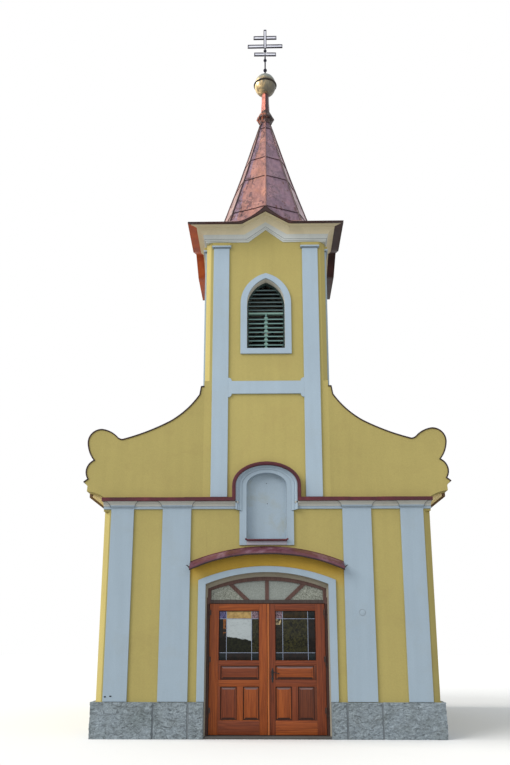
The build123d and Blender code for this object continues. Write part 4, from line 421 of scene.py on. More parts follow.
# Metal
# The hood's top sheet: its pale mauve patches are a painted sheen.
maroon = metal_paint("maroon_sheet", (64, 16, 26), (96, 52, 64), (150, 122, 138))
maroon_red = metal_paint("maroon_face", (52, 12, 22), (76, 22, 32), (104, 40, 50), rough=0.46)
maroon_dark = metal_paint("maroon_edge", (26, 12, 14), (38, 18, 20), (56, 30, 32), rough=0.5)
hinge_paint = metal_paint("hinge_paint", (40, 26, 20), (58, 36, 28), (78, 50, 38), rough=0.5)
came_lead = metal_paint("came_lead", (132, 144, 160), (152, 164, 180), (170, 182, 198), rough=0.5)
ring_metal = metal_paint("ball_ring", (26, 20, 16), (42, 34, 26), (66, 54, 40), rough=0.5)
cross_metal = metal_paint("cross_paint", (206, 206, 220), (228, 228, 238), (240, 240, 246), rough=0.5)
cross_edge = metal_paint("cross_edges", (8, 7, 24), (12, 11, 32), (30, 28, 54), rough=0.6)
# One fascia metal in copies for the light: the left copy is orange as painted sunlight, the front and right
# copies dark as painted shade.
eave_metals = [metal_paint(f"eave_{name}", *tones, rough=0.5) for name, *tones in (
    ("edge", (34, 16, 18), (46, 22, 24), (66, 34, 34)),
    ("front", (34, 16, 16), (50, 24, 22), (72, 36, 32)),
    ("left", (150, 62, 30), (184, 86, 42), (208, 110, 62)),
    ("right", (40, 22, 24), (54, 31, 33), (74, 44, 44)),
)]
# Copies of the copper for the light: lit on the faces turned left, pale as a painted highlight on the far
# left faces, mauve and pink as painted shade on the right, edge for the seams and as painted shade lines on
# the arrises, crease as painted shade in creases.
LIT, MAUVE_SHADE, PALE_HIGHLIGHT, PINK_SHADE, DARK_EDGE, CREASE_SHADE = range(6)
spire_metals = [copper_material(f"spire_copper_{name}", *tones) for name, *tones in (
    ("lit", (148, 100, 92), (178, 120, 98), (106, 70, 72)),
    ("mauve", (124, 96, 112), (142, 106, 116), (94, 72, 90)),
    ("pale", (160, 118, 108), (190, 146, 130), (120, 82, 78)),
    ("pink", (150, 118, 128), (168, 132, 138), (112, 84, 96)),
    ("edge", (62, 32, 34), (92, 48, 42), (42, 24, 30)),
    ("crease", (96, 58, 60), (120, 74, 66), (74, 48, 58)),
)]
copper_skirt = copper_material("skirt_copper", (150, 104, 98), (178, 118, 102), (122, 90, 98))
# The collar is warm on the left and near black on the right as painted light and shade, and the neck has a
# lit copy and a dark copy as painted light and shade.
collar_metals = (
    copper_material("collar_copper", (62, 32, 28), (206, 116, 80), (16, 8, 10), side=0.8, scale=9),
    copper_material("neck_copper_lit", (186, 98, 78), (204, 122, 98), (146, 72, 58)),
    copper_material("neck_copper_dark", (66, 34, 42), (84, 46, 52), (48, 26, 34)),
)
black_iron = iron_material((44, 44, 46))
gilt = gilt_material()

# Wood, tiles and glass
FRAME_ZONES = (
    ((-0.985, None, 2.19), (0.985, None, 2.264), (0.55, 0.74, 0.78, 1.0)),
    ((None, None, None), (None, None, 2.19), (0.5, 0.42, 0.4, 1.0)),
)
frame_brown = wood("frame_wood", "Z", (64, 42, 37), (86, 61, 55), (104, 79, 73), 3.0, 0.5, FRAME_ZONES)
window_brown = wood("window_wood", "Z", (66, 44, 38), (94, 72, 66), (112, 92, 86), 4.0, 0.5)
roof_boards = wood("roof_boards", "Y", (84, 62, 46), (110, 84, 62), (134, 106, 80), 9.0, 0.7)
# The slats' own tone is painted shade, and the lighter edge tones are painted highlights on the front edges
# and the post.
slat_green = wood("louvre_paint", "X", (20, 28, 28), (38, 54, 54), (58, 78, 76), 5.0, 0.6)
slat_shade = wood("louvre_shade", "X", (10, 12, 12), (20, 22, 22), (34, 34, 34), 5.0, 0.7)
slat_upper_lit_edge = wood("louvre_upper_edge", "X", (62, 80, 82), (84, 104, 106), (104, 126, 126), 5.0, 0.6)
slat_lit_edge = wood("louvre_edge", "X", (82, 112, 112), (108, 142, 140), (132, 166, 162), 5.0, 0.6)
transom_green = wood("transom_paint", "X", (96, 128, 120), (126, 160, 150), (146, 178, 166), 6.0, 0.55)
tiles = tile_material()
figured_glass = fanlight_material()
# The side windows' glass is drawn opaque and dark as painted shade of the room behind.
side_glass = pane_material("side_pane", (20, 24, 24), (50, 56, 56), scale=3.0, shine=0.4)


# Mesh helpers
class Piece:
    """One mesh in world metres, with its origin at the world's."""

    def __init__(self, name, *mats):
        self.name = name
        self.mats = mats
        self.bm = bmesh.new()

    def face(self, points, mat=0):
        self.bm.faces.new([self.bm.verts.new(p) for p in points]).material_index = mat

    def grid(self, rows, close_row=False, close_rows=False, mat=0):
        """Surface through rows of points."""
        verts = [[self.bm.verts.new(p) for p in row] for row in rows]
        n = len(rows)
        for i in range(n if close_rows else n - 1):
            a, b = verts[i], verts[(i + 1) % n]
            w = len(a)
            for j in range(w if close_row else w - 1):
                k = (j + 1) % w
                self.bm.faces.new((a[j], a[k], b[k], b[j])).material_index = mat
        return verts

    def close(self, rings, mat):
        """Faces on the first and last ring of a grid."""
        for ring in (rings[0][::-1], rings[-1]):
            self.bm.faces.new(ring).material_index = mat

    def ends(self, rows, mat, *last):
        """Faces on both ends of a strip that is even about x = 0; last are the right end's last points."""
        for side, end in ((-1, 0), (1, -1)):
            self.face([row[end] for row in rows] + [(side * x, y, z) for x, y, z in last], mat)

    def round_off(self, edges, width):
        bmesh.ops.bevel(self.bm, geom=edges, offset=width, segments=2, affect="EDGES", profile=0.6,
                        clamp_overlap=True)

    def box(self, xs, ys, zs, bevel=0.0, mat=0):
        """Block between pairs of x, y and z, each in any order."""
        low, high = zip(*(sorted(pair) for pair in (xs, ys, zs)))
        made = bmesh.ops.create_cube(self.bm, size=1.0)["verts"]
        for v in made:
            v.co = Vector(low[i] + (v.co[i] + 0.5) * (high[i] - low[i]) for i in range(3))
        for f in {f for v in made for f in v.link_faces}:
            f.material_index = mat
        if bevel:
            self.round_off(list({e for v in made for e in v.link_edges}), bevel)

    def prism(self, outline, y0, y1, bevel=0.0, mat=0):
        """A flat outline of (x, z) points carried along Y."""
        front, back = [[self.bm.verts.new((x, y, z)) for x, z in outline] for y in sorted((y0, y1))]
        made = [self.bm.faces.new(front), self.bm.faces.new(back[::-1])]
        for i in range(len(outline)):
            j = (i + 1) % len(outline)
            made.append(self.bm.faces.new((front[j], front[i], back[i], back[j])))
        for f in made:
            f.material_index = mat
        if bevel:
            self.round_off([e for f in made[:2] for e in f.edges], bevel)

    def tube(self, path, radius, around=12, mat=0, close=False):
        """Round bar along a path; radius may be a list."""
        rows = []
        for i, p in enumerate(path):
            a = Vector(path[i - 1] if i or close else path[0])
            b = Vector(path[(i + 1) % len(path)] if close or i + 1 < len(path) else path[-1])
            t = (b - a).normalized()
            side = t.cross(Vector((0, 0, 1)))
            if side.length < 0.2:
                side = t.cross(Vector((0, 1, 0)))
            side.normalize()
            up = side.cross(t)
            r = radius[i] if isinstance(radius, list) else radius
            rows.append([Vector(p) + side * r * math.cos(turn) + up * r * math.sin(turn)
                         for turn in angles(around)])
        made = self.grid(rows, close_row=True, close_rows=close, mat=mat)
        if not close:
            self.close(made, mat)

    def turned(self, profile, around=24, mat=0):
        """Body of revolution about the tower's middle: (radius, z) points."""
        rows = [[polar(r, a, z) + MIDDLE for a in angles(around)] for r, z in profile]
        self.close(self.grid(rows, close_row=True, mat=mat), mat)

    def done(self, body="building", replaces=(), slot=None, sharp=32, merge=0.00005):
        bmesh.ops.remove_doubles(self.bm, verts=self.bm.verts, dist=merge)
        bmesh.ops.recalc_face_normals(self.bm, faces=self.bm.faces)
        mesh = bpy.data.meshes.new(self.name)
        self.bm.to_mesh(mesh)
        self.bm.free()
        for m in self.mats:
            mesh.materials.append(m)
        mesh.polygons.foreach_set("use_smooth", [True] * len(mesh.polygons))
        mesh.set_sharp_from_angle(angle=math.radians(sharp))
        obj = bpy.data.objects.new(self.name, mesh)
        bpy.context.scene.collection.objects.link(obj)
        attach(obj, body)
        if replaces:
            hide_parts(*replaces)


MIDDLE = Vector((0, TOWER_MID, 0))


def polar(r, a, z):
    """Point at a radius and an angle from the tower's middle, which is left out."""
    return Vector((r * math.cos(a), r * math.sin(a), z))


def shared_quad(a, b):
    """The quad that two opposite corners share."""
    return (set(a.link_faces) & set(b.link_faces)).pop()


def at_front(x, out, z):
    """Point at a distance in front of the wall."""
    return (x, FRONT - out, z)


def in_front(line, out):
    """A line of (x, z) points at a distance in front of the wall."""
    return [(x, FRONT - out, z) for x, z in line]


def on_face(k, u, out, z):
    """Point on a side of the tower: u across as seen from outside, out from the wall."""
    far = REACH[k] + out
    x, y = ((u, -far), (far, u), (-u, far), (-far, -u))[k]
    return Vector((x, TOWER_MID + y, z))


def oval(half, foot, spring, crown):
    """Half of an oval on straight legs, from the left foot over the top to the right foot: (x, z)."""
    turns = [math.pi * (1 - s) for s in even(0.0, 1.0, 40)]
    arc = [(half * math.cos(a), spring + (crown - spring) * math.sin(a)) for a in turns]
    return [(-half, foot)] + arc + [(half, foot)]


def flat_arch(half, foot, spring, crown):
    """Flat arc on straight legs, from left to right: (x, z)."""
    rise = crown - spring
    r = (half * half + rise * rise) / (2 * rise)
    reach = math.asin(half / r)
    arc = [(r * math.sin(a), crown - r + r * math.cos(a)) for a in even(-reach, reach, 32)]
    return [(-half, foot)] + arc + [(half, foot)]


def circle(x, z, r, steps=16):
    return [(x + r * math.cos(a), z + r * math.sin(a)) for a in angles(steps)]


def dress(node, mat, bevel):
    """Carried-over CAD node with a material and slightly rounded edges."""
    obj = NODES[node]
    if not obj.material_slots:
        obj.data.materials.append(mat)
    for s in obj.material_slots:
        s.material = mat
    if bevel:
        weld = obj.modifiers.new("weld", "WELD")
        weld.merge_threshold = 0.0001
        edge = obj.modifiers.new("bevel", "BEVEL")
        edge.width = bevel
        edge.segments = 2
        edge.limit_method = "ANGLE"
        edge.angle_limit = math.radians(35)
        edge.use_clamp_overlap = True
        edge.harden_normals = False


# Plain walls, trims and fittings keep their solids: material, width of the rounded edges, nodes
for mat, bevel, nodes in (
    (yellow_nave, 0.0012, "side_wall_left side_wall_right rear_wall"),
    (yellow_with_hood_shade, 0.0012, "front_wall_left front_wall_right"),
    (yellow_with_hood_shade, 0.0, "front_wall_over_door"),
    (yellow_tower, 0.004, "tower_wall_front tower_wall_rear tower_wall_left tower_wall_right"),
    (yellow_plain, 0.002, "gable_wing_left gable_wing_right"),
    (sunlit_yellow_eaves, 0.002, "eaves_cornice_left eaves_cornice_right"),
    (pale_trim, 0.004, "front_pilasters_left front_pilasters_right door_surround niche_surround"),
    (pale_trim, 0.004, "side_window_surrounds"),
    (pale_tower, 0.004, "tower_cross_bands tower_window_surrounds"),
    (pilaster_tower, 0.004, "tower_pilasters"),
    (inner_paint, 0.0, "ceiling_slab"),
    (floor_stone, 0.0, "floor_slab"),
    (sill_stone, 0.006, "door_sill"),
    (maroon_dark, 0.003, "gable_coping_left gable_coping_right"),
    (frame_brown, 0.003, "door_frame"),
    (window_brown, 0.003, "side_window_frames"),
    (figured_glass, 0.0, "fanlight_glass"),
    (side_glass, 0.0, "side_window_glass"),
    (hinge_paint, 0.001, "door_hinges_left door_hinges_right door_hinge_pins"),
    (roof_boards, 0.0, "nave_roof_left nave_roof_right"),
):
    for node in nodes.split():
        dress(node, mat, bevel)


# Plinth of rock-faced stones
def stone_block(piece, xs, ys, zs, out, cell, seed):
    """A block whose outer faces are broken rock; out says which sides are seen, as (axis, sign)."""
    low, high = zip(*(sorted(pair) for pair in (xs, ys, zs)))
    size = [high[i] - low[i] for i in range(3)]
    count = [max(1, round(s / cell)) for s in size]
    made = {}

    def vertex(ijk):
        if ijk in made:
            return made[ijk]
        p = Vector(low[i] + size[i] * ijk[i] / count[i] for i in range(3))
        q = Vector((p.x * 3.2, p.y * 3.2, p.z * 12)) + Vector((seed * 7.1, seed * 3.3, 0))
        warp = noise.noise(q * 0.6) * 1.6
        swell = 0.5 + 0.5 * noise.noise(q + Vector((warp, warp, warp * 2)))
        fine = noise.fractal(Vector((p.x * 16, p.y * 16, p.z * 30)), 0.8, 2.0, 3)
        move = Vector((0, 0, 0))
        for axis, sign in out:
            depth = (high[axis] - p[axis]) if sign > 0 else (p[axis] - low[axis])
            near = math.exp(-((depth / 0.02) ** 2))
            cut = 0.004 + 0.017 * (1 - swell) + 0.005 * max(0.0, fine)
            if axis == 2:
                cut = 0.003 + 0.005 * (1 - swell)
            move[axis] -= sign * near * cut
        made[ijk] = piece.bm.verts.new(p + move)
        return made[ijk]

    for axis, sign in out:
        a, b = [i for i in range(3) if i != axis]
        fixed = count[axis] if sign > 0 else 0
        for i in range(count[a]):
            for j in range(count[b]):
                quad = []
                for da, db in ((0, 0), (1, 0), (1, 1), (0, 1)):
                    ijk = [0, 0, 0]
                    ijk[axis], ijk[a], ijk[b] = fixed, i + da, j + db
                    quad.append(vertex(tuple(ijk)))
                piece.bm.faces.new(quad)


PLINTH_TOP = 0.585
PLINTH_OUT = 0.07
JOINT = 0.006
# Blocks of the front as (x from, x to, out, lower by), and the sides of a block as (axis, sign)
FRONT_BLOCKS = ((1.06, 1.322, 0.07, 0.0), (1.334, 1.908, 0.062, 0.004), (1.91, 2.97, 0.07, 0.0))
LEFT_RIGHT, FRONT_SIDE, REAR_SIDE, TOP_SIDE = ((0, -1), (0, 1)), (1, -1), (1, 1), (2, 1)
for side in SIDES:
    plinth = Piece(f"plinth_stones_{SIDES[side]}", stone, joint_grey)
    for n, (x0, x1, deep, lower) in enumerate(FRONT_BLOCKS, 1):
        stone_block(plinth, (side * x0, side * x1), (FRONT - deep, FRONT), (0.0, PLINTH_TOP - lower),
                    (FRONT_SIDE, *LEFT_RIGHT, TOP_SIDE), 0.0165, n + (5 if side > 0 else 0))
    plinth.box((side * 1.06, side * HALF_WIDTH), (FRONT - 0.035, FRONT), (0.0, PLINTH_TOP - 0.008), mat=1)
    plinth.done(replaces=(f"plinth_front_{SIDES[side]}",), slot="plinth_stone", sharp=60)

plinth = Piece("plinth_stones_nave", stone, joint_grey)
SIDE_BLOCKS = (1.02, 0.86, 1.1, 0.94, 0.82)
for side in SIDES:
    cuts = [FRONT + sum(SIDE_BLOCKS[:n]) for n in range(len(SIDE_BLOCKS) + 1)] + [REAR + PLINTH_OUT]
    for n, (near, far) in enumerate(zip(cuts, cuts[1:])):
        last = far > REAR
        stone_block(plinth, (side * HALF_WIDTH, side * (HALF_WIDTH + PLINTH_OUT)),
                    (near + JOINT, far - (0.0 if last else JOINT)), (0.0, PLINTH_TOP),
                    ((0, side), FRONT_SIDE, REAR_SIDE, TOP_SIDE), 0.026, 20 + n + side * 7)
    plinth.box((side * HALF_WIDTH, side * 2.93), (FRONT, REAR), (0.0, PLINTH_TOP - 0.01), mat=1)
cuts = even(-HALF_WIDTH, HALF_WIDTH, 6)
for n, (left, right) in enumerate(zip(cuts, cuts[1:])):
    stone_block(plinth, (left + JOINT, right - JOINT), (REAR, REAR + PLINTH_OUT), (0.0, PLINTH_TOP),
                (REAR_SIDE, *LEFT_RIGHT, TOP_SIDE), 0.026, 40 + n)
plinth.box((-HALF_WIDTH, HALF_WIDTH), (REAR, REAR + 0.035), (0.0, PLINTH_TOP - 0.01), mat=1)
plinth.done(replaces=("plinth_nave",), slot="plinth_stone", sharp=60)

# Front cornice: flat fillet, hollow and lip as (out, up), carried straight across and up round the niche;
# the hollow and lip are cream as painted bounce light
CORNICE_FOOT = 3.8
NICHE_SPRING = 4.255
CORNICE = mm((0, 34), (24, 34), (28, 38), (28, 76), (33, 80), (40, 83), (42, 93), (45, 103), (50, 112),
             (58, 121), (69, 129), (80, 135), (85, 138), (85, 165), (0, 165))
cornice = Piece("front_cornice_moulding", pale_trim, cream_trim_bounce_light, painted_shadow_grey)
for side in SIDES:
    rows = [[at_front(side * x, out, CORNICE_FOOT + up) for out, up in CORNICE]
            for x in (0.5, 1.2, 2.0, HALF_WIDTH)]
    cornice.grid([row[:5] for row in rows], mat=0)
    cornice.grid([row[4:] for row in rows], mat=1)
    cornice.face(rows[-1], 1)

# Flared heads of the front pilasters as (up, grow), cream above as painted bounce light, with grey lines of
# painted shadow along their edges and across their foot
PILASTERS = ((1.338, 1.843), (2.357, 2.76))
FLARE = mm((0, 0), (6, 8), (24, 12), (28, 18), (30, 20), (50, 22), (62, 28), (80, 42), (95, 58),
           (104, 70), (108, 74), (115, 74))
FLARE_FOOT = 3.85
PILASTER_OUT = 0.035
for side in SIDES:
    for x0, x1 in PILASTERS:
        a, b = sorted((side * x0, side * x1))
        rows = []
        for up, grow in FLARE:
            left, right, out = a - grow, b + grow, PILASTER_OUT + grow
            rows.append([at_front(x, y, FLARE_FOOT + up) for x, y in (
                (left, 0.0), (left, out), (right, out), (right, 0.0))])
        cornice.grid(rows[:6], mat=0)
        cornice.grid(rows[5:], mat=1)
        for x, sign in ((a, -1), (b, 1)):
            edge = [at_front(x + sign * grow, 0.036 + grow, FLARE_FOOT + up) for up, grow in FLARE[2:11]]
            cornice.tube(edge, 0.0042, 6, 2)
        cornice.tube([at_front(x, 0.061, FLARE_FOOT + 0.014) for x in (a - 0.02, b + 0.02)], 0.003, 6, 2)

# Moulding round the niche as (share of its width, out)
ARCH_HALF, ARCH_CROWN, ARCH_WIDE = 0.44, 4.55, 0.09
ARCHIVOLT = [(0.0, 0.035), (0.0, 0.046), (0.1, 0.05), (0.42, 0.05), (0.46, 0.056), (0.5, 0.064),
             (0.6, 0.064), (0.66, 0.058), (0.74, 0.06), (0.84, 0.072), (0.93, 0.08), (1.0, 0.085),
             (1.24, 0.085)]
rows = []
for s, out in ARCHIVOLT:
    arch = oval(ARCH_HALF + ARCH_WIDE * s, CORNICE_FOOT + 0.02 * s, NICHE_SPRING, ARCH_CROWN + 0.05 * s)
    rows.append(in_front(arch, out))
cornice.grid(rows, mat=0)
cornice.ends(rows, 0, (0.551, FRONT, 3.825), (ARCH_HALF, FRONT, CORNICE_FOOT))
cornice.done(replaces=("front_cornice",), slot="white_plaster", sharp=28)

# Sheet metal band in lengths that lap each other, as (out, z), and its arch round the niche
band = Piece("metal_band_sheet", maroon_red, maroon_dark)
BAND = mm((60, 3966), (126, 3965), (130, 3969), (130, 3982), (128, 3986), (130, 4026), (126, 4031),
          (0, 4051))
BAND_CUTS = (0.57, 1.0, 1.46, 2.03, 2.5, 2.92)
for side in SIDES:
    for n, (near, far) in enumerate(zip(BAND_CUTS, BAND_CUTS[1:])):
        grow = 0.0025 * (n % 2)
        sag = 0.0015 * math.sin(n * 2.3)
        rows = [[at_front(side * x, out + grow if out else 0.0, z + sag) for out, z in BAND]
                for x in (near - 0.01, far)]
        band.grid(rows, mat=0)
        for row in rows:
            band.face(row + [(row[0][0], FRONT, 3.966)], 1)
RING = [(0.22, 0.06), (0.24, 0.122), (0.27, 0.127), (0.45, 0.129), (0.5, 0.126), (0.55, 0.129),
        (0.93, 0.128), (1.0, 0.124), (1.1, 0.0)]
RING_HALF, RING_FOOT, RING_CROWN = 0.53, 3.97, 4.6
rows = [in_front(oval(RING_HALF + 0.08 * s, RING_FOOT + 0.03 * s, NICHE_SPRING, RING_CROWN + 0.075 * s), out)
        for s, out in RING]
band.grid(rows, mat=0)
band.ends(rows, 1, (0.548, FRONT, 3.977))
band.done(replaces=("metal_band",), slot="maroon_sheet", sharp=28)

# Niche lining: sides and back in grey-blue render as (inset, depth), two small plug holes
NICHE_HALF, NICHE_FOOT, NICHE_CROWN = 0.3535, 3.3065, 4.4845
lining = Piece("niche_lining", niche_back, pale_trim, maroon_dark)
NICHE_STEPS = mm((0, -34.5), (0, 30), (0, 70), (2.5, 80), (9.5, 86.5), (17, 88.5))
rows = [in_front(oval(NICHE_HALF - inset, NICHE_FOOT + inset, NICHE_SPRING, NICHE_CROWN - inset), -depth)
        for inset, depth in NICHE_STEPS]
lining.grid(rows[:3], close_row=True, mat=1)
lining.grid(rows[2:], close_row=True, mat=0)
lining.face(rows[-1], 0)
for x, z in ((0.0, 4.315), (0.012, 3.945)):
    lining.prism(circle(x, z, 0.008), FRONT + 0.0868, FRONT + 0.0886, mat=2)
lining.done(sharp=40)

# Niche sill: thin lip of sheet metal with rolled ends, and the strip of render under it
sill = Piece("niche_sill_lip", maroon_red, sill_pink)
SILL_HALF = 0.352
ROLL = mm((372, 82, 3298), (362, 86, 3290), (346, 88, 3283))
ROLL_RADII = [0.016, 0.015, 0.013]
lip = [(-x, out, z) for x, out, z in ROLL]
lip += [(x, 0.088, 3.281 + 0.001 * math.sin(i * 1.7)) for i, x in enumerate(even(-0.34, 0.34, 12))]
lip += ROLL[::-1]
sill.tube([at_front(*p) for p in lip], ROLL_RADII + [0.011] * 13 + ROLL_RADII[::-1], 12, 0)
SILL_LINE = mm((86, 3288), (35, 3300), (-50, 3308.5))
sill.grid([[at_front(x, out, z) for x in (-0.35, 0.35)] for out, z in SILL_LINE])
sill.box((-SILL_HALF, SILL_HALF), (FRONT - 0.038, FRONT - 0.034), (3.196, 3.27), 0.002, 1)
sill.box((-SILL_HALF, SILL_HALF), (FRONT - 0.084, FRONT - 0.034), (3.262, 3.279), 0.003, 0)
sill.done(replaces=("niche_sill",), slot="maroon_sheet")

# Doorway reveal as (inset, depth): render that steps in twice before the frame. Its head is an arch inside
# it, as (half width, spring, crown, depth)
DOOR_HALF, DOOR_SPRING, DOOR_CROWN = 1.06, 2.52, 2.725
reveal = Piece("door_reveal", reveal_paint)
DOOR_STEPS = mm((0.5, -34.5), (0.5, 30), (7, 36), (7, 72), (14, 78), (14, 119.5))
rows = []
for inset, depth in DOOR_STEPS:
    arch = flat_arch(DOOR_HALF - inset, 0.04, DOOR_SPRING - 0.3 * inset, DOOR_CROWN - inset)
    rows.append(in_front(arch, -depth))
reveal.grid(rows)
HEAD_FOOT = 2.3
HEAD = mm((1046.5, 2516, 2711.5, 78.5), (1041, 2500, 2702, 79), (1040, 2492, 2695, 84),
          (1036, 2476, 2680, 88), (1034, 2462, 2664, 98), (1030, 2454, 2657, 104), (1030, 2454, 2657, 119.5))
rows = [in_front(flat_arch(half, HEAD_FOOT, spring, crown), -depth) for half, spring, crown, depth in HEAD]
reveal.grid(rows)
reveal.ends(rows, 0, (HEAD[0][0], FRONT + HEAD[-1][3], HEAD_FOOT))
reveal.done(sharp=40)

# Hood: three lapped sheets on a shallow arch, a turned-down lip, a soffit, and hooked pins at its ends
HOOD_HALF = 1.338
LIP_OUT = 0.2115


def hood_wall(x):
    """Height of the hood at the wall."""
    return 2.9 + 0.262 * (1 - (abs(x) / HOOD_HALF) ** 2.05)


def hood_lip(x):
    """Height of the hood at its front edge."""
    return 2.795 + 0.272 * (1 - (abs(x) / HOOD_HALF) ** 2.25)


hood = Piece("hood_sheets", maroon, maroon_dark, maroon_red)
SWELL = [(0.0, 0.0), (0.04, 0.0), (0.3, 0.0072), (0.6, 0.0084), (0.92, 0.0024), (1.0, 0.0)]
SHEET_CUTS = (-HOOD_HALF, -0.37, 0.24, HOOD_HALF)
CLIPS = (-1.19, -0.83, -0.33, 0.27, 0.72, 1.21)
for n, (left, right) in enumerate(zip(SHEET_CUTS, SHEET_CUTS[1:])):
    lift = 0.003 * n
    rows = []
    for x in even(left - (0.012 if n else 0.0), right, 26):
        wall, lip = hood_wall(x), hood_lip(x)
        edge = LIP_OUT + 0.0016 * drift(x * 9, 3.1, 0.7)
        drop = 0.05 + 0.004 * drift(x * 6, 1.4, 2.2)
        row = [(0.0, wall + 0.014), (0.003, wall + 0.012)]
        row += [(0.003 + 0.207 * s, wall + (lip - wall) * s + crown + lift) for s, crown in SWELL]
        row += [(edge, lip + lift - 0.004), (edge, lip - 0.6 * drop), (edge, lip - drop)]
        row += [(0.205, lip - drop - 0.005), (0.196, lip - drop + 0.002)]
        rows.append([at_front(x, out, z) for out, z in row])
    # The top sheet takes the maroon with its painted mauve sheen.
    for start, end, mat in ((0, 4, 2), (3, 10, 0), (9, 13, 1)):
        hood.grid([row[start:end] for row in rows], mat=mat)
hood.grid([[at_front(x, 0.198, hood_lip(x) - 0.034), at_front(x, 0.19, hood_lip(x) - 0.016),
            at_front(x, 0.0, hood_wall(x) - 0.02)] for x in even(-1.336, 1.336, 40)], mat=1)
HOOK = mm((1330, 190, 2790), (1345, 200, 2800), (1362, 200, 2818), (1374, 200, 2826), (1392, 200, 2830))
for side in SIDES:
    wall, lip = hood_wall(1.337), hood_lip(1.337)
    hood.face([at_front(side * 1.337, out, z) for out, z in (
        (0.0, wall + 0.012), (0.21, lip), (0.21, lip - 0.036), (0.0, wall - 0.02))], 1)
    hood.tube([at_front(side * x, out, z) for x, out, z in HOOK], [0.011, 0.011, 0.009, 0.007, 0.006], 10, 1)
for x in CLIPS:
    lip = hood_lip(x)
    hood.box((x - 0.02, x + 0.02), (FRONT - 0.206, FRONT - 0.19), (lip - 0.052, lip - 0.03), 0.003, 1)
hood.done(replaces=("door_canopy",), slot="maroon_sheet", sharp=30)

# Door leaves: separate boards, moulded edges round the openings, raised panels
# The lit tone is a painted highlight, groove is painted shade in the grooves and also the dark joints, and
# sheen is a painted reflection on the upper bevels.
OAK = {
    "orange": ((98, 42, 18), (132, 62, 26), (162, 86, 38)),
    "red": ((78, 34, 20), (108, 50, 28), (134, 68, 38)),
    "brown": ((62, 30, 20), (88, 44, 28), (114, 60, 36)),
    "lit": ((132, 68, 32), (160, 88, 44), (186, 110, 58)),
    "groove": ((34, 16, 12), (48, 24, 16), (64, 34, 24)),
    "sheen": ((92, 66, 62), (118, 88, 84), (142, 112, 108)),
}
woods = {f"{tone}_{along}": wood(f"door_{tone}_{along.lower()}", along, *colours, shift=2.3 * n + 1.1)
         for n, (tone, colours) in enumerate(OAK.items()) for along in "ZX"}
WOODS = list(woods)
JOINT_AND_SHADE_WOOD, SHEEN_REFLECTION = "groove_Z", "sheen_X"

# Rings round an opening as (inset, depth), and the woods of their lower, right, upper and left parts: the
# dark groove wood as painted shade, the sheen wood as a painted reflection
EDGE_LOOPS = mm((0, 0), (3, 0.5), (9, 7.5), (11.5, 11.5), (13, 13.5), (13, 24))
EDGE_WOODS = ((None,) * 4, (None, JOINT_AND_SHADE_WOOD, JOINT_AND_SHADE_WOOD, JOINT_AND_SHADE_WOOD), (JOINT_AND_SHADE_WOOD,) * 4, (JOINT_AND_SHADE_WOOD,) * 4, (JOINT_AND_SHADE_WOOD,) * 4)
PANEL_LOOPS = mm((13, 21), (18, 21.5), (46, 12.5), (48, 9), (51, 8.5))
PANEL_WOODS = ((JOINT_AND_SHADE_WOOD,) * 4, (JOINT_AND_SHADE_WOOD, None, SHEEN_REFLECTION, None), (JOINT_AND_SHADE_WOOD, JOINT_AND_SHADE_WOOD, SHEEN_REFLECTION, JOINT_AND_SHADE_WOOD), (None,) * 4)

# Places in a leaf, with x out from the middle of the doorway
LEAF_FOOT, LEAF_TOP = 0.05, 2.192
INNER_STILE, OUTER_STILE, PANEL_OUT = 0.137, 0.835, 0.8
BETWEEN = (INNER_STILE, OUTER_STILE)
LOW_PANEL, MID_PANEL, GLASS = (0.276, 0.822), (0.924, 1.164), (1.238, 2.078)
BOARDS = (
    ("outer", (OUTER_STILE + 0.0032, 0.992), (LEAF_FOOT, LEAF_TOP)),
    ("inner", (0.003, INNER_STILE - 0.0032), (LEAF_FOOT, LEAF_TOP)),
    ("top", BETWEEN, (GLASS[1], LEAF_TOP)),
    ("lock", BETWEEN, (MID_PANEL[1], GLASS[0])),
    ("middle", BETWEEN, (LOW_PANEL[1], MID_PANEL[0])),
    ("bottom", BETWEEN, (LEAF_FOOT, LOW_PANEL[0])),
    ("mullion", (0.415, 0.515), LOW_PANEL),
    ("filler", (PANEL_OUT, OUTER_STILE), LOW_PANEL),
    ("filler", (PANEL_OUT, OUTER_STILE), MID_PANEL),
)
DARK_JOINTS = ((0.1295, 0.138), (0.832, 0.8375))
PANELS = (
    ("panel_mid", "lock", (INNER_STILE, PANEL_OUT), MID_PANEL),
    ("panel_in", "outer", (INNER_STILE, 0.415), LOW_PANEL),
    ("panel_out", "outer", (0.515, PANEL_OUT), LOW_PANEL),
)


def loops(piece, xs, zs, profile, parts, y_at, wood_name, fill=False):
    """Mitred rings inside a rectangle."""
    (x0, x1), (z0, z1) = sorted(xs), zs
    rows = []
    for inset, depth in profile:
        left, right, low, high = x0 + inset, x1 - inset, z0 + inset, z1 - inset
        corners = ((left, low), (right, low), (right, high), (left, high))
        rows.append([(x, y_at(depth), z) for x, z in corners])
    made = piece.grid(rows, close_row=True, mat=WOODS.index(wood_name))
    for i, names in enumerate(parts):
        for j, name in enumerate(names):
            if name:
                quad = shared_quad(made[i][j], made[i + 1][(j + 1) % 4])
                quad.material_index = WOODS.index(name)
    if fill:
        piece.bm.faces.new(made[-1]).material_index = WOODS.index(wood_name)


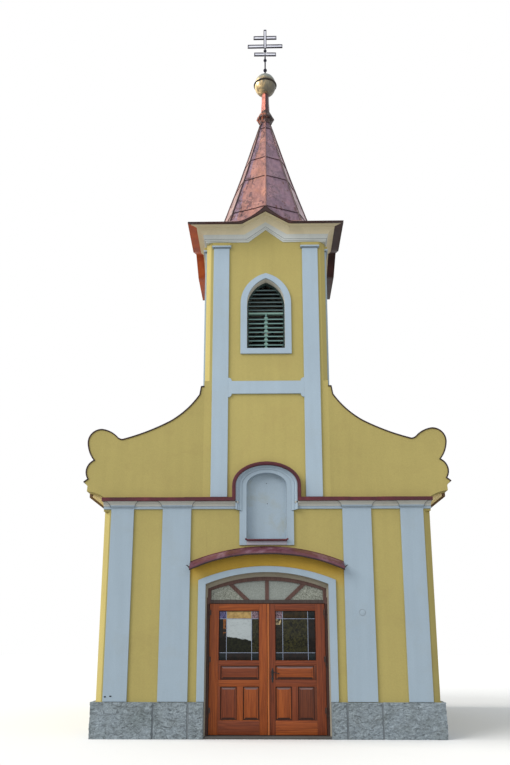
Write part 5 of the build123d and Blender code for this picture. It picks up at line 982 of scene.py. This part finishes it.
def leaf(side, tones):
    """One leaf; tones names the wood of each board."""
    piece = Piece(f"leaf_boards_{SIDES[side]}", *woods.values())

    def out(xs):
        return [side * x for x in xs]

    for key, xs, zs in BOARDS:
        piece.box(out(xs), (LEAF_FRONT, LEAF_BACK), zs, 0.0016, WOODS.index(tones[key]))
    for y_at in (lambda d: LEAF_FRONT + d, lambda d: LEAF_BACK - d):
        for key, rim, xs, zs in PANELS:
            loops(piece, out(xs), zs, EDGE_LOOPS, EDGE_WOODS, y_at, tones[rim])
            loops(piece, out(xs), zs, PANEL_LOOPS, PANEL_WOODS, y_at, tones[key], fill=True)
        loops(piece, out(BETWEEN), GLASS, EDGE_LOOPS, EDGE_WOODS, y_at, tones["lock"])
    for xs in DARK_JOINTS:
        piece.box(out(xs), (LEAF_FRONT + 0.0022, LEAF_BACK - 0.0022), (0.052, 2.19), mat=WOODS.index(JOINT_AND_SHADE_WOOD))
    if side > 0:
        # Half-round cover strip over the joint between the leaves, with a painted highlight on its left
        strip = [(0.0245 - 0.0205 * math.cos(a), LEAF_FRONT - 0.004 - 0.009 * math.sin(a))
                 for a in even(0.0, math.pi, 8)]
        section = [(0.004, LEAF_FRONT)] + strip + [(0.045, LEAF_FRONT)]
        made = piece.grid([[(x, y, z) for x, y in section] for z in (0.052, 2.19)], mat=WOODS.index("red_Z"))
        for j in range(6):
            shared_quad(made[0][j], made[1][j + 1]).material_index = WOODS.index("lit_Z")
        piece.close(made, WOODS.index("red_Z"))
    piece.done(f"leaf_{SIDES[side]}", replaces=(f"door_leaf_{SIDES[side]}",), slot="door_wood", sharp=25)


leaf(-1, {"outer": "orange_Z", "inner": "orange_Z", "mullion": "orange_Z", "filler": "red_Z",
          "top": "orange_X", "lock": "red_X", "middle": "orange_X", "bottom": "red_X",
          "panel_mid": "red_X", "panel_in": "orange_Z", "panel_out": "red_Z"})
leaf(1, {"outer": "red_Z", "inner": "red_Z", "mullion": "red_Z", "filler": "brown_Z",
         "top": "red_X", "lock": "red_X", "middle": "red_X", "bottom": "orange_X",
         "panel_mid": "orange_X", "panel_in": "orange_Z", "panel_out": "brown_Z"})

# Leaded lights: nine panes in each leaf, named from the upper left, held by pale cames
# Painted reflections: a pale sky over a sloping hill line in one pane, and lighter patches in two others.
REFLECTION = (166, 174, 176)
CORNER_LIGHT = ((128, 76, 30), (-0.76, None, 1.66), (-0.6, None, 1.96))
EDGE_LIGHT = ((168, 150, 112), (None, None, 1.84), (0.24, None, 1.96))
panes = {name: pane_material(f"pane_{name}", dark, light, **more) for name, dark, light, more in (
    ("violet", (44, 42, 78), (104, 100, 140), {"scale": 40, "wobble": 0.006}),
    ("mauve", (62, 48, 56), (150, 126, 136), {"scale": 40, "wobble": 0.006}),
    ("amber", (144, 116, 70), (178, 148, 92), {"scale": 16}),
    ("umber", (24, 18, 4), (50, 38, 14), {"scale": 12}),
    ("blue", (2, 6, 8), (14, 26, 30), {"scale": 30}),
    ("olive", (8, 8, 0), (52, 50, 22), {"scale": 26}),
    ("brown", (8, 4, 2), (26, 14, 8), {"scale": 12}),
    ("grey", (10, 12, 4), (30, 32, 16), {"scale": 20, "above": REFLECTION}),
    ("ember", (8, 6, 2), (24, 16, 8), {"scale": 14, "patch": CORNER_LIGHT}),
    ("grain", (6, 6, 2), (40, 34, 20), {"scale": 30, "patch": EDGE_LIGHT}),
)}
PANE_XS = (0.127, 0.268, 0.702, 0.845)
PANE_ZS = (1.228, 1.372, 1.94, 2.09)
PANE_YS = (LEAF_FRONT + 0.0245, LEAF_FRONT + 0.0305)
CAME_HALF = 0.0048
for side, names in (
    (-1, (("violet", "amber", "mauve"), ("ember", "grey", "olive"), ("blue", "brown", "blue"))),
    (1, (("mauve", "umber", "blue"), ("grain", "olive", "brown"), ("blue", "brown", "blue"))),
):
    piece = Piece(f"leaded_glass_{SIDES[side]}", *panes.values(), came_lead)
    xs = sorted(side * x for x in PANE_XS)
    for z0, z1, line in zip(PANE_ZS, PANE_ZS[1:], reversed(names)):
        for x0, x1, name in zip(xs, xs[1:], line):
            mat = list(panes).index(name)
            piece.box((x0 + 0.001, x1 - 0.001), PANE_YS, (z0 + 0.001, z1 - 0.001), 0.0008, mat)
    lead = len(panes)
    for y, sign in zip(PANE_YS, (-1, 1)):
        for x in xs[1:3]:
            upright = (x - CAME_HALF, x + CAME_HALF)
            piece.box(upright, (y, y + sign * 0.0035), (PANE_ZS[0], PANE_ZS[3]), 0.0016, lead)
        for z in PANE_ZS[1:3]:
            level = (z - CAME_HALF, z + CAME_HALF)
            piece.box((xs[0], xs[3]), (y, y + sign * 0.0045), level, 0.0016, lead)
    piece.done(f"leaf_{SIDES[side]}", replaces=(f"leaf_glass_{SIDES[side]}",), slot="leaded_glass", sharp=30)

# Handle plates and lever of black iron, on both faces of the right leaf
HANDLE_X, LEVER_Z = 0.087, 1.04
PLATE_OUTLINE = mm((0, 1123), (7, 1117), (11, 1106), (10, 1096), (15, 1088), (21, 1076), (21, 1058),
                   (17, 1050), (17, 1030), (21, 1018), (21, 1004), (14, 994), (12, 985), (16, 974),
                   (22, 962), (22, 944), (15, 934), (11, 924), (13, 910), (14, 898), (8, 888), (0, 884))
PLATE_FACES = ((-1, LEAF_FRONT - 0.006), (1, LEAF_BACK + 0.006))
outline = [(HANDLE_X + u, z) for u, z in PLATE_OUTLINE]
outline += [(HANDLE_X - u, z) for u, z in PLATE_OUTLINE[-2:0:-1]]
plates = Piece("handle_plate_shapes", black_iron)
for out, y in PLATE_FACES:
    plates.prism(outline, y, y - out * 0.0055, bevel=0.0014)
    plates.prism(circle(HANDLE_X, 0.953, 0.0125, 20), y, y + out * 0.003, bevel=0.001)
    for z in (1.108, 0.899):
        plates.prism(circle(HANDLE_X, z, 0.0038, 12), y, y + out * 0.0016, bevel=0.0006)
plates.done("leaf_right", replaces=("handle_plates",), slot="dark_iron", sharp=28)

lever = Piece("lever_wave", black_iron)
for out, y in PLATE_FACES:
    stem = [(HANDLE_X, y + out * d, LEVER_Z) for d in (0.0, 0.012, 0.026, 0.036)]
    lever.tube(stem, [0.0145, 0.012, 0.0095, 0.0095], 20)
    shares = even(0.0, 1.0, 24)
    grip = [(0.084 + 0.122 * s, y + out * (0.04 - 0.004 * math.sin(math.pi * s)),
             1.0385 + 0.0125 * math.sin(1.75 * math.pi * s - 0.5) + 0.004 * s) for s in shares]
    radii = [0.0082 - 0.002 * math.sin(math.pi * min(1.0, s * 1.25)) + (0.0012 if s > 0.9 else 0.0)
             for s in shares]
    lever.tube(grip, radii, 14)
lever.tube([(HANDLE_X, y, LEVER_Z) for _, y in PLATE_FACES], 0.008, 16)
lever.done("lever", replaces=("door_lever",), slot="dark_iron", sharp=40)

# Tower louvres: frame, middle post, transom and tilted slats, on each side
WIN_HALF, WIN_FOOT, WIN_SPRING, WIN_CROWN = 0.358, 6.875, 7.79, 8.305
LOW_PITCH, HIGH_PITCH = 0.74 / 8.4, 0.58 / 7
POST_HALF = 0.014
FRAME, TRANSOM, SLAT_SHADE, LIT_EDGE, UPPER_LIT_EDGE = range(5)


def pointed_half(z, crown=WIN_CROWN, half=WIN_HALF):
    """Half width of a pointed opening at a height."""
    if z <= WIN_SPRING:
        return half
    rise = crown - WIN_SPRING
    r = (half * half + rise * rise) / (2 * half)
    return max(0.0, half - r + math.sqrt(max(0.0, r * r - (z - WIN_SPRING) ** 2)))


def pointed_line(inset, foot):
    crown = WIN_CROWN - 1.2 * inset
    left = [(-pointed_half(z, crown, WIN_HALF - inset), z) for z in even(WIN_SPRING, crown, 14)]
    right = [(-x, z) for x, z in reversed(left[:-1])]
    return [(inset - WIN_HALF, foot)] + left + right + [(WIN_HALF - inset, foot)]


louvres = Piece("louvre_slats", slat_green, transom_green, slat_shade, slat_lit_edge, slat_upper_lit_edge)


def bar(k, us, zs, depths, mat, tilt=0.0):
    """Board across the opening of a side: its front and back depth, and how far its back edge is lifted."""
    (z0, z1), (near, far) = zs, depths
    rings = [[on_face(k, u, near, z0), on_face(k, u, near, z1), on_face(k, u, far, z1 + tilt),
              on_face(k, u, far, z0 + tilt)] for u in us]
    louvres.close(louvres.grid(rings, close_row=True, mat=mat), mat)


# A slat in the shade tone, with a front edge strip in a lighter tone as a painted highlight.
def slat(k, us, z, edge, tilt):
    bar(k, us, (z, z + 0.016), (-0.169, -0.235), SLAT_SHADE, tilt)
    bar(k, us, (z, z + 0.021), (-0.163, -0.169), edge)


for k in range(4):
    louvres.grid([[on_face(k, u, depth, z) for u, z in pointed_line(inset, WIN_FOOT + 0.001 + inset * 0.4)]
                  for inset, depth in ((0.0, -0.164), (0.032, -0.164), (0.032, -0.245), (0.0, -0.245))],
                 close_row=True, mat=FRAME)
    bar(k, (-0.33, 0.33), (7.642, 7.676), (-0.162, -0.235), TRANSOM)
    bar(k, (-POST_HALF, POST_HALF), (WIN_FOOT + 0.015, 7.65), (-0.168, -0.235), LIT_EDGE)
    for n in range(8):
        z = 6.91 + n * LOW_PITCH
        for us in ((-0.328, -POST_HALF), (POST_HALF, 0.328)):
            slat(k, us, z, LIT_EDGE, 0.074)
        bar(k, (-0.034, 0.034), (z + 0.016, z + 0.052), (-0.16, -0.17), TRANSOM, 0.004)
    for n in range(6):
        z = 7.715 + n * HIGH_PITCH
        half = pointed_half(z + 0.03) - 0.02
        slat(k, (-half, half), z, UPPER_LIT_EDGE, 0.062)
louvres.done(replaces=("tower_louvres",), slot="louvre_wood", sharp=30)

# Fillets over and under the small caps of the tower pilasters; the one under is grey as a painted shadow
# line
caps = Piece("tower_cap_fillets", pale_tower, painted_shadow_grey)
for k in range(4):
    for middle in (0.293 - WIDE[k], WIDE[k] - 0.293):
        for half, z0, z1, out, mat in ((0.184, 8.955, 8.986, 0.069, 0), (0.162, 8.936, 8.956, 0.046, 1)):
            corners = on_face(k, middle - half, 0.0, z0), on_face(k, middle + half, out, z1)
            caps.box(*zip(*corners), 0.003, mat)
caps.done(slot="white_plaster")

# Tower cornice as (out, up): fillets and a smooth hollow that rise to a point in the middle of each side
TOWER_TOP = 9.08
COVE = mm((0, 0), (16, 2), (18, 22), (22, 25), (36, 28), (38, 50), (44, 54), (50, 80), (58, 108),
          (70, 135), (88, 161), (112, 184), (142, 202), (166, 210), (172, 212), (186, 213), (188, 225))
COVE_UP = COVE[-1][1]
FEET_LOW, FEET_HIGH = (0.335, 0.43, 0.335, 0.43), (0.46, 0.585, 0.46, 0.585)
POINT_RISE = 0.265
cove = Piece("tower_cornice_moulding", fillet_trim, cream_cove_bounce_light, yellow_tower, painted_shadow_grey)
for k in range(4):
    rows = []
    for out, up in COVE:
        foot = FEET_LOW[k] + (FEET_HIGH[k] - FEET_LOW[k]) * up / COVE_UP
        z = TOWER_TOP + up
        half = [(WIDE[k] + out, z), (0.9, z), (foot, z), (foot / 2, z + POINT_RISE / 2)]
        line = [(-u, h) for u, h in half] + [(0.0, z + POINT_RISE)] + half[::-1]
        rows.append([on_face(k, u, out, h) for u, h in line])
    # Rows 5 to 6 are grey as a painted shadow line, and the hollow is cream as painted bounce light.
    for start, end, mat in ((0, 5, 0), (5, 6, 3), (6, 9, 0), (9, 16, 1)):
        cove.grid(rows[start:end + 1], mat=mat)
    foot = FEET_LOW[k]
    cove.face([on_face(k, u, 0.0005, TOWER_TOP + up) for u, up in (
        (-foot, -0.005), (foot, -0.005), (foot, 0.001), (0.0, POINT_RISE + 0.001), (-foot, 0.001))], 2)
for x in (-1, 1):
    for y in (-1, 1):
        cove.box((x * (TOWER_HALF - 0.13), x * (TOWER_HALF + 0.012)),
                 (TOWER_MID + y * (TOWER_DEEP - 0.13), TOWER_MID + y * (TOWER_DEEP + 0.012)),
                 (TOWER_TOP - 0.0012, TOWER_TOP + 0.004))
cove.done(replaces=("tower_cornice",), slot="cream_plaster", sharp=26, merge=0.0003)

# Tower roof: a skirt inside the eaves, a curved gablet on each side, fascia with a rolled edge, and soffit
EAVES_OUT, EAVE_LOW, EAVE_TOP = 0.345, 9.305, 9.34
GABLETS = (0.55, 0.7, 0.55, 0.7)
COVE_OUT = 0.186
# Which eave metal each side's fascia and soffit take: the left side the painted sunlight copy, the front,
# right and rear the painted shade copies, and the front soffit the cream painted bounce light.
FASCIA, SOFFIT = (2, 4, 4, 3), (5, 4, 4, 3)


def roof_top(k, u, d):
    """Height of the sheet at d inside the eaves."""
    base = 0.36 * (d / 0.605) ** 1.15
    lift = 0.345 * max(0.0, 1 - abs(u) / GABLETS[k]) ** 1.62
    near = min(1.0, d / 0.1)
    blend = 0.02 * near
    dent = 0.004 * drift(u * 6 + 9 * k, d * 6, 0.3) * near
    return EAVE_TOP + 0.5 * (base + lift + math.sqrt((base - lift) ** 2 + blend ** 2) - blend) + dent


def roof_low(k, u):
    return EAVE_LOW + POINT_RISE * max(0.0, 1 - abs(u) / FEET_HIGH[k])


skirt = Piece("tower_roof_sheets", copper_skirt, *eave_metals, cream_cove_bounce_light)
for k in range(4):
    half = WIDE[k] + EAVES_OUT
    marks = {0.0, GABLETS[k], FEET_HIGH[k], half} | {half * i / 36 for i in range(36)}
    across = sorted(marks | {-u for u in marks})
    rows = []
    for share in even(0.0, 1.0, 24):
        d = 0.86 * share ** 1.2
        kept = [max(d - half, min(half - d, u)) for u in across]
        rows.append([on_face(k, u, EAVES_OUT - d, roof_top(k, u, d)) for u in kept])
    skirt.grid(rows, mat=0)
    rim = [[] for _ in range(7)]
    for u in across:
        top, low = roof_top(k, u, 0.0), roof_low(k, u)
        wave = 0.0012 * drift(u * 7, k * 3.0, 0.6)
        for row, (back, z) in zip(rim, ((0.0, top), (0.0, top - 0.011), (0.005, top - 0.013),
                                        (0.004 + wave, low + 0.008), (0.0, low + 0.004), (0.001, low),
                                        (0.014, low + 0.003))):
            row.append(on_face(k, u * (half - back) / half, EAVES_OUT - back, z))
    skirt.grid(rim[:3], mat=1)
    skirt.grid(rim[2:], mat=FASCIA[k])
    kept = [u * (WIDE[k] + COVE_OUT) / half for u in across]
    inner = [on_face(k, u, COVE_OUT, roof_low(k, u) + 0.0005) for u in kept]
    line = [a.lerp(b, 0.22) for a, b in zip(rim[-1], inner)]
    skirt.grid([rim[-1], line], mat=FASCIA[k])
    skirt.grid([line, inner], mat=SOFFIT[k])
skirt.done(replaces=("tower_roof",), slot="copper_sheet", sharp=32, merge=0.0004)

# Spire: eight dented faces in courses of sheet with folded seams, and rolls on the arrises
SPIRE = mm((1201, 9420), (1105, 9700), (533, 11365), (110, 12765))
COURSES = (9.42, 10.14, 11.055, 11.64, 12.57, 12.765)
# Metal of each face, lighter to the left as painted light and darker to the right as painted shade
FACE_METAL = (PINK_SHADE, MAUVE_SHADE, LIT, PALE_HIGHLIGHT, PALE_HIGHLIGHT, LIT, MAUVE_SHADE, PINK_SHADE)
CELL = 0.036


def spire_radius(z):
    for (r0, z0), (r1, z1) in zip(SPIRE, SPIRE[1:]):
        if z <= z1:
            return r0 + (r1 - r0) * (z - z0) / (z1 - z0)
    return SPIRE[-1][0]


def dents(face, p):
    """How far the sheet bulges at a place: broad dents, sharp folds in places, and small crumples."""
    fold = drift(p.x * 9 + p.z * 5, p.y * 9 + face * 2.3, p.z * 6)
    push = 0.016 * drift(p.x * 4.4 + face, p.y * 4.4, p.z * 2.4)
    push += 0.012 * (1 - min(1.0, abs(fold) * 5)) * max(0.0, drift(p.x * 3, face, p.z * 2.1))
    return push + 0.004 * drift(p.x * 16, p.y * 16 + face, p.z * 11)


def sheet_metal(face, share, inner, p):
    """Metal of a quad of the spire: a mauve strip of painted shade on one face, and dark creases of painted
    shade in places.
    """
    metal = FACE_METAL[face]
    if face == 5 and share < 0.3 + 0.34 * drift(0.7, p.z * 1.9, 4.4):
        metal = MAUVE_SHADE
    mark = drift(p.x * 5.2 + face * 1.7, p.y * 5.2, p.z * 3.1)
    place = drift(p.x * 1.6, p.y * 1.6 + face * 2.1, p.z * 1.3)
    return CREASE_SHADE if inner and place > -0.02 and abs(mark) < (0.05 if face in (4, 5) else 0.022) else metal


spire = Piece("spire_sheets", *spire_metals)
for face in range(8):
    a0, a1 = math.pi / 4 * face, math.pi / 4 * (face + 1)
    outward = polar(1.0, (a0 + a1) / 2, 0.0)
    for n, (z0, z1) in enumerate(zip(COURSES, COURSES[1:])):
        up = max(5, round((z1 - z0) / CELL))
        across = max(5, round(spire_radius(z0) * 0.765 / CELL))
        rows = []
        for i, z in enumerate(even(z0, z1, up)):
            level = (n == 0 and i == 0) or (z1 == COURSES[-1] and i == up)
            row = []
            for s in even(0.0, 1.0, across):
                drop = 0.0 if level else 0.012 * math.sin((face * 3 + n * 5) * 1.3) * (s - 0.5)
                r = spire_radius(z + drop)
                p = polar(r, a0, z + drop).lerp(polar(r, a1, z + drop), s)
                push = dents(face, p) * math.sin(math.pi * s) ** 0.5
                push += 0.007 * (1 - i / up) ** 3 if n else 0.0
                row.append(p + outward * push + MIDDLE)
            rows.append(row)
        made = spire.grid(rows, mat=FACE_METAL[face])
        for i in range(up):
            for j in range(across):
                corner, inner = made[i][j], 0 < j < across - 1
                quad = shared_quad(corner, made[i + 1][j + 1])
                quad.material_index = sheet_metal(face, (j + 0.5) / across, inner, corner.co)
        if n:
            spire.tube([p + outward * 0.001 for p in rows[0]], 0.0065, 6, DARK_EDGE)
for corner in range(8):
    path = []
    for z in even(COURSES[0], COURSES[-1], 43):
        r = spire_radius(z) + 0.004 + 0.004 * drift(corner * 3.3, z * 3.4, 1.7)
        path.append(polar(r, math.pi / 4 * corner, z) + MIDDLE)
    # The front and back rolls take the lit metal as a painted highlight, the others the dark edge metal as
    # painted shade lines.
    spire.tube(path, even(0.022, 0.013, 43), 10, LIT if corner in (2, 6) else DARK_EDGE)
spire.done(replaces=("spire",), slot="copper_sheet", sharp=24)

# Collar of folded sheet with a sharp eight-sided rim, then the eight-sided neck
collar = Piece("collar_sheets", *collar_metals)
COLLAR = mm((116, 12758), (130, 12790), (134, 12830), (150, 12850), (190, 12868), (199, 12885), (199, 12900),
            (193, 12915), (170, 12950), (150, 12980), (132, 13020), (110, 13060), (96, 13085), (88, 13100))
rows = []
for r, z in COLLAR:
    row = []
    for a in angles(64):
        x, y = math.cos(a), math.sin(a)
        flat = math.cos(math.pi / 8) / math.cos(a % (math.pi / 4) - math.pi / 8)
        crush = 1 + 0.07 * drift(x * 3.4, y * 3.4, z * 15) + 0.045 * drift(x * 9, y * 9, z * 36)
        row.append(polar(r * flat * crush, a, z + 0.014 * drift(x * 4, y * 4, z * 6)) + MIDDLE)
    rows.append(row)
collar.grid(rows, close_row=True, mat=0)
for face in range(8):
    rows = []
    for s in even(0.0, 1.0, 18):
        r = 0.094 - 0.021 * s + 0.002 * math.sin(s * 9)
        row = []
        for t in even(0.0, 1.0, 4):
            p = polar(r, math.pi / 4 * face, 0.0).lerp(polar(r, math.pi / 4 * (face + 1), 0.0), t)
            push = 1 + 0.03 * drift(p.x * 20, p.y * 20, s * 7) * math.sin(math.pi * t)
            row.append(p * push + MIDDLE + Vector((0, 0, 13.075 + 0.54 * s)))
        rows.append(row)
    # The neck's left faces take the lit copy and the right faces the dark copy: painted light and shade.
    collar.grid(rows, mat=1 if face in (2, 3, 4, 5) else 2)
collar.done(replaces=("spire_collar",), slot="copper_sheet", sharp=22)

# Ball of two dished halves with a raised seam, and its cap
BALL_Z, BALL_RADIUS = 13.795, 0.24
ball = Piece("ball_halves", gilt, ring_metal)
rows = []
for b in even(-math.pi / 2 + 0.29, math.pi / 2 - 0.24, 40):
    row = []
    for a in angles(64):
        dent = 1 + 0.012 * drift(math.cos(a) * 2.2, math.sin(a) * 2.2, b * 2)
        dent += 0.003 * math.cos(16 * a) * math.cos(b)
        z = BALL_Z + (0.277 if b > 0 else 0.262) * math.sin(b)
        row.append(polar(BALL_RADIUS * math.cos(b) * dent, a, z) + MIDDLE)
    rows.append(row)
ball.close(ball.grid(rows, close_row=True, mat=0), 0)
seam = [polar(BALL_RADIUS - 0.001, a, BALL_Z + 0.003 * math.sin(a)) + MIDDLE for a in angles(64)]
ball.tube(seam, 0.023, 12, 1, close=True)
CAP = mm((70, 264.5), (62, 276.5), (42, 284.5), (30, 298.5))
ball.turned([(r, BALL_Z + up) for r, up in CAP], mat=1)
ball.done(replaces=("spire_ball",), slot="gilt_metal", sharp=35)

# Cross: a thin dark rod with knobs below, three pale flat bars with dark folded edges on a pale post above.
# The bars are (z, reach, lean), the knobs are (z, radius)
CROSS_TOP = 15.3155
BARS = ((14.646, 0.253, -0.012), (14.866, 0.402, 0.004), (15.101, 0.266, 0.003))
KNOBS = ((14.21, 0.042), (14.482, 0.038), (14.742, 0.036))
cross = Piece("cross_bars", cross_metal, cross_edge)


def depth(half):
    """Front and back of a bar of the cross."""
    return TOWER_MID - half, TOWER_MID + half


cross.tube([(0.0, TOWER_MID, z) for z in (14.05, 14.3, 14.6, 14.83)], 0.016, 12, 1)
cross.box((-0.024, 0.024), depth(0.024), (14.82, CROSS_TOP - 0.012), 0.004, 0)
for side in SIDES:
    cross.box((side * 0.014, side * 0.034), depth(0.0246), (14.825, CROSS_TOP - 0.014), 0.001, 1)
cross.box((-0.034, 0.034), depth(0.0245), (CROSS_TOP - 0.042, CROSS_TOP), 0.005, 1)
for z, reach, lean in BARS:
    for side in SIDES:
        tip = z + lean * reach * side
        for start, end, low, high, half, bevel, mat in (
            (0.01, reach - 0.006, -0.032, 0.022, 0.02, 0.003, 0),
            (0.026, reach, -0.036, -0.03, 0.0235, 0.002, 1),
            (0.026, reach, 0.007, 0.037, 0.0235, 0.002, 1),
        ):
            outline = [(side * start, z + low), (side * end, tip + low), (side * end, tip + high),
                       (side * start, z + high)]
            cross.prism(outline[::side], *depth(half), bevel=bevel, mat=mat)
        cross.box((side * reach, side * (reach - 0.025)), depth(0.024), (tip - 0.036, tip + 0.037), 0.003, 1)
for z, r in KNOBS:
    cross.turned([(max(0.004, r * math.sin(a)), z - r * math.cos(a)) for a in even(0.0, math.pi, 12)], mat=1)
cross.done(replaces=("cross",), slot="cross_metal", sharp=35)

# Nave roof: rows of rounded clay tiles over the boards, and half-round ridge tiles
SLOPE = math.radians(37)
EAVES_X, EAVES_Z, BOARD_THICK = 3.18, 4.15, 0.12
RIDGE_TOP = EAVES_Z + EAVES_X * math.tan(SLOPE) + BOARD_THICK / math.cos(SLOPE)
SLOPE_LONG = (EAVES_X + 0.06) / math.cos(SLOPE)
TILE_WIDTH, TILE_SHOWN, TILE_LONG, TILE_THICK = 0.18, 0.165, 0.215, 0.013
TILE_HALF = 0.5 * TILE_WIDTH * 0.985
ROOF_REAR = REAR + 0.15
TILE_TAIL = [(-TILE_HALF * math.cos(a), 0.045 * math.sin(a)) for a in even(0.0, math.pi, 6)]


def tile(piece, side, down, y, u_shift, tail):
    """One tile whose rounded tail ends at down along the slope."""
    head = max(down - TILE_LONG, 0.0)
    shape = [(u, down - 0.045 + bulge, tail) for u, bulge in TILE_TAIL]
    shape += [(TILE_HALF, head, 0.004), (-TILE_HALF, head, 0.004)]
    tops, lows = [], []
    for u, s, lift in shape:
        across = min(max(y + u + u_shift, FRONT + 0.302), ROOF_REAR - 0.001)
        for ring, level in ((tops, lift), (lows, max(0.0, lift - TILE_THICK))):
            ring.append(piece.bm.verts.new((side * (s * math.cos(SLOPE) + level * math.sin(SLOPE)), across,
                                            RIDGE_TOP - s * math.sin(SLOPE) + level * math.cos(SLOPE))))
    piece.bm.faces.new(tops)
    for i in range(len(shape) - 1):
        piece.bm.faces.new((tops[i], tops[i + 1], lows[i + 1], lows[i]))


for side in SIDES:
    piece = Piece(f"roof_tiles_{SIDES[side]}", tiles)
    for row in range(int(SLOPE_LONG / TILE_SHOWN) + 1):
        down = SLOPE_LONG + 0.01 - row * TILE_SHOWN
        beside_tower = (down - 0.1) * math.cos(SLOPE) < TOWER_HALF - 0.02
        y = FRONT + 0.39 + TILE_WIDTH * (0.5 if row % 2 else 0.0)
        column = 0
        while y - TILE_WIDTH / 2 < ROOF_REAR - 0.01:
            if not (beside_tower and y < TOWER_REAR - 0.06) and down - TILE_LONG > -0.1:
                tile(piece, side, down, y, 0.0025 * drift(row * 1.9, column * 2.3, 7.7),
                     0.021 + 0.003 * drift(row * 3.7, column * 5.3, side * 2.0))
            y += TILE_WIDTH
            column += 1
    piece.done(slot="roof_tiles", sharp=20, merge=0.000001)

RIDGE_RADIUS, RIDGE_THICK = 0.118, 0.016
RIDGE_TILE = ((0.0, 0.012), (0.08, 0.012), (0.1, 0.002), (1.0, -0.004))
ridge = Piece("ridge_tiles", tiles, mortar)


def ridge_ring(y, grow):
    r = RIDGE_RADIUS + grow
    return [(r * math.cos(a), y, RIDGE_TOP - 0.06 + r * math.sin(a)) for a in even(0.0, math.pi, 12)]


y = TOWER_REAR
while y < REAR + 0.12:
    end = min(y + 0.36, ROOF_REAR)
    outer = [ridge_ring(y + (end - y) * s, grow) for s, grow in RIDGE_TILE]
    inner = [ridge_ring(y, 0.012 - RIDGE_THICK), ridge_ring(end, -0.004 - RIDGE_THICK)]
    for rows in (outer, inner, [outer[0], inner[0]], [outer[-1], inner[-1]]):
        ridge.grid(rows, mat=0)
    y += 0.33
bed = [(x, RIDGE_TOP + up) for x, up in ((-0.13, -0.11), (0.13, -0.11), (0.06, 0.02), (-0.06, 0.02))]
ridge.prism(bed, TOWER_REAR + 0.002, REAR + 0.14, mat=1)
ridge.done(replaces=("ridge_cap",), slot="roof_tiles", sharp=30)

# Small marks on the pilasters: a plugged hole on the right, two nail heads on the left
PLUG, NAILS = (1.63, 2.04), ((-2.718, 0.664), (-2.626, 0.672))
marks = Piece("pilaster_marks", pale_trim, black_iron, plug_ring)
marks.prism(circle(*PLUG, 0.05, 28), FRONT - 0.0366, FRONT - 0.0348, mat=0, bevel=0.0008)
marks.tube(in_front(circle(*PLUG, 0.052, 32), 0.0362), 0.003, 8, 2, close=True)
for x, z in NAILS:
    oblong = [(x + 1.7 * (u - x), v) for u, v in circle(x, z, 0.013, 12)]
    marks.prism(oblong, FRONT - 0.0375, FRONT - 0.0348, mat=1, bevel=0.0008)
marks.done(sharp=35)

# Floor: pale where the camera sees it, darker for the light that it throws back
floor_mat = Material("studio_floor", Roughness=0.95, Specular_IOR_Level=0.0)
seen = floor_mat.rays("Is Camera Ray", "Is Glossy Ray")
tone = floor_mat.mix(seen, (0.42, 0.42, 0.41, 1.0), (0.78, 0.78, 0.78, 1.0))
floor_mat.feed(floor_mat.shader.inputs["Base Color"], tone)
floor_mesh = bpy.data.meshes.new("studio_floor")
far = 60
floor_mesh.from_pydata([(-far, -far, 0), (far, -far, 0), (far, far, 0), (-far, far, 0)], [], [(0, 1, 2, 3)])
floor_mesh.materials.append(floor_mat.mat)
floor = bpy.data.objects.new("studio_floor", floor_mesh)
floor.location.z = -0.0005
bpy.context.scene.collection.objects.link(floor)
floor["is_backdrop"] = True

# World: soft bluish light, white where it is seen
world = bpy.data.worlds.new("studio")
bpy.context.scene.world = world
world.use_nodes = True
studio = Nodes(world.node_tree)
soft = studio.add("ShaderNodeBackground", {0: (0.93, 0.97, 1.0, 1.0), 1: 0.74})
white = studio.add("ShaderNodeBackground", {0: (1.0, 1.0, 1.0, 1.0), 1: 1.0})
seen = studio.rays("Is Camera Ray", "Is Glossy Ray", "Is Transmission Ray")
both = studio.add("ShaderNodeMixShader", {0: seen, 1: soft.outputs[0], 2: white.outputs[0]})
studio.add("ShaderNodeOutputWorld", {0: both.outputs[0]})

for name, turn, strength, angle, colour in (
    ("key_light", (58, 0, -54), 1.75, 35, (1.0, 0.98, 0.95)),
    ("side_light", (60, 0, -92), 2.2, 20, (1.0, 0.95, 0.86)),
    ("fill_light", (82, 0, 8), 0.5, 60, (0.95, 0.97, 1.0)),
):
    lamp = bpy.data.lights.new(name, "SUN")
    lamp.energy = strength
    lamp.angle = math.radians(angle)
    lamp.color = colour
    sun = bpy.data.objects.new(name, lamp)
    sun.rotation_euler = [math.radians(a) for a in turn]
    bpy.context.scene.collection.objects.link(sun)

# Camera fitted to the photograph: its long side, focal length and shift are in pixels
PHOTO_SIDE, FOCAL, SHIFT = 765, 760, 60
EYE, TILT, TURN = (0.0386, -16.610, 1.6), 14.4988, 1.0539
camera = bpy.data.cameras.new("camera")
camera.sensor_width = 36
camera.lens = 36 * FOCAL / PHOTO_SIDE
camera.shift_y = SHIFT / PHOTO_SIDE
camera.clip_end = 300
view = bpy.data.objects.new("camera", camera)
view.location = EYE
view.rotation_euler = (math.radians(90 + TILT), 0.0, math.radians(TURN))
bpy.context.scene.collection.objects.link(view)
bpy.context.scene.camera = view
bpy.context.scene.view_settings.view_transform = "Standard"

low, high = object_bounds()
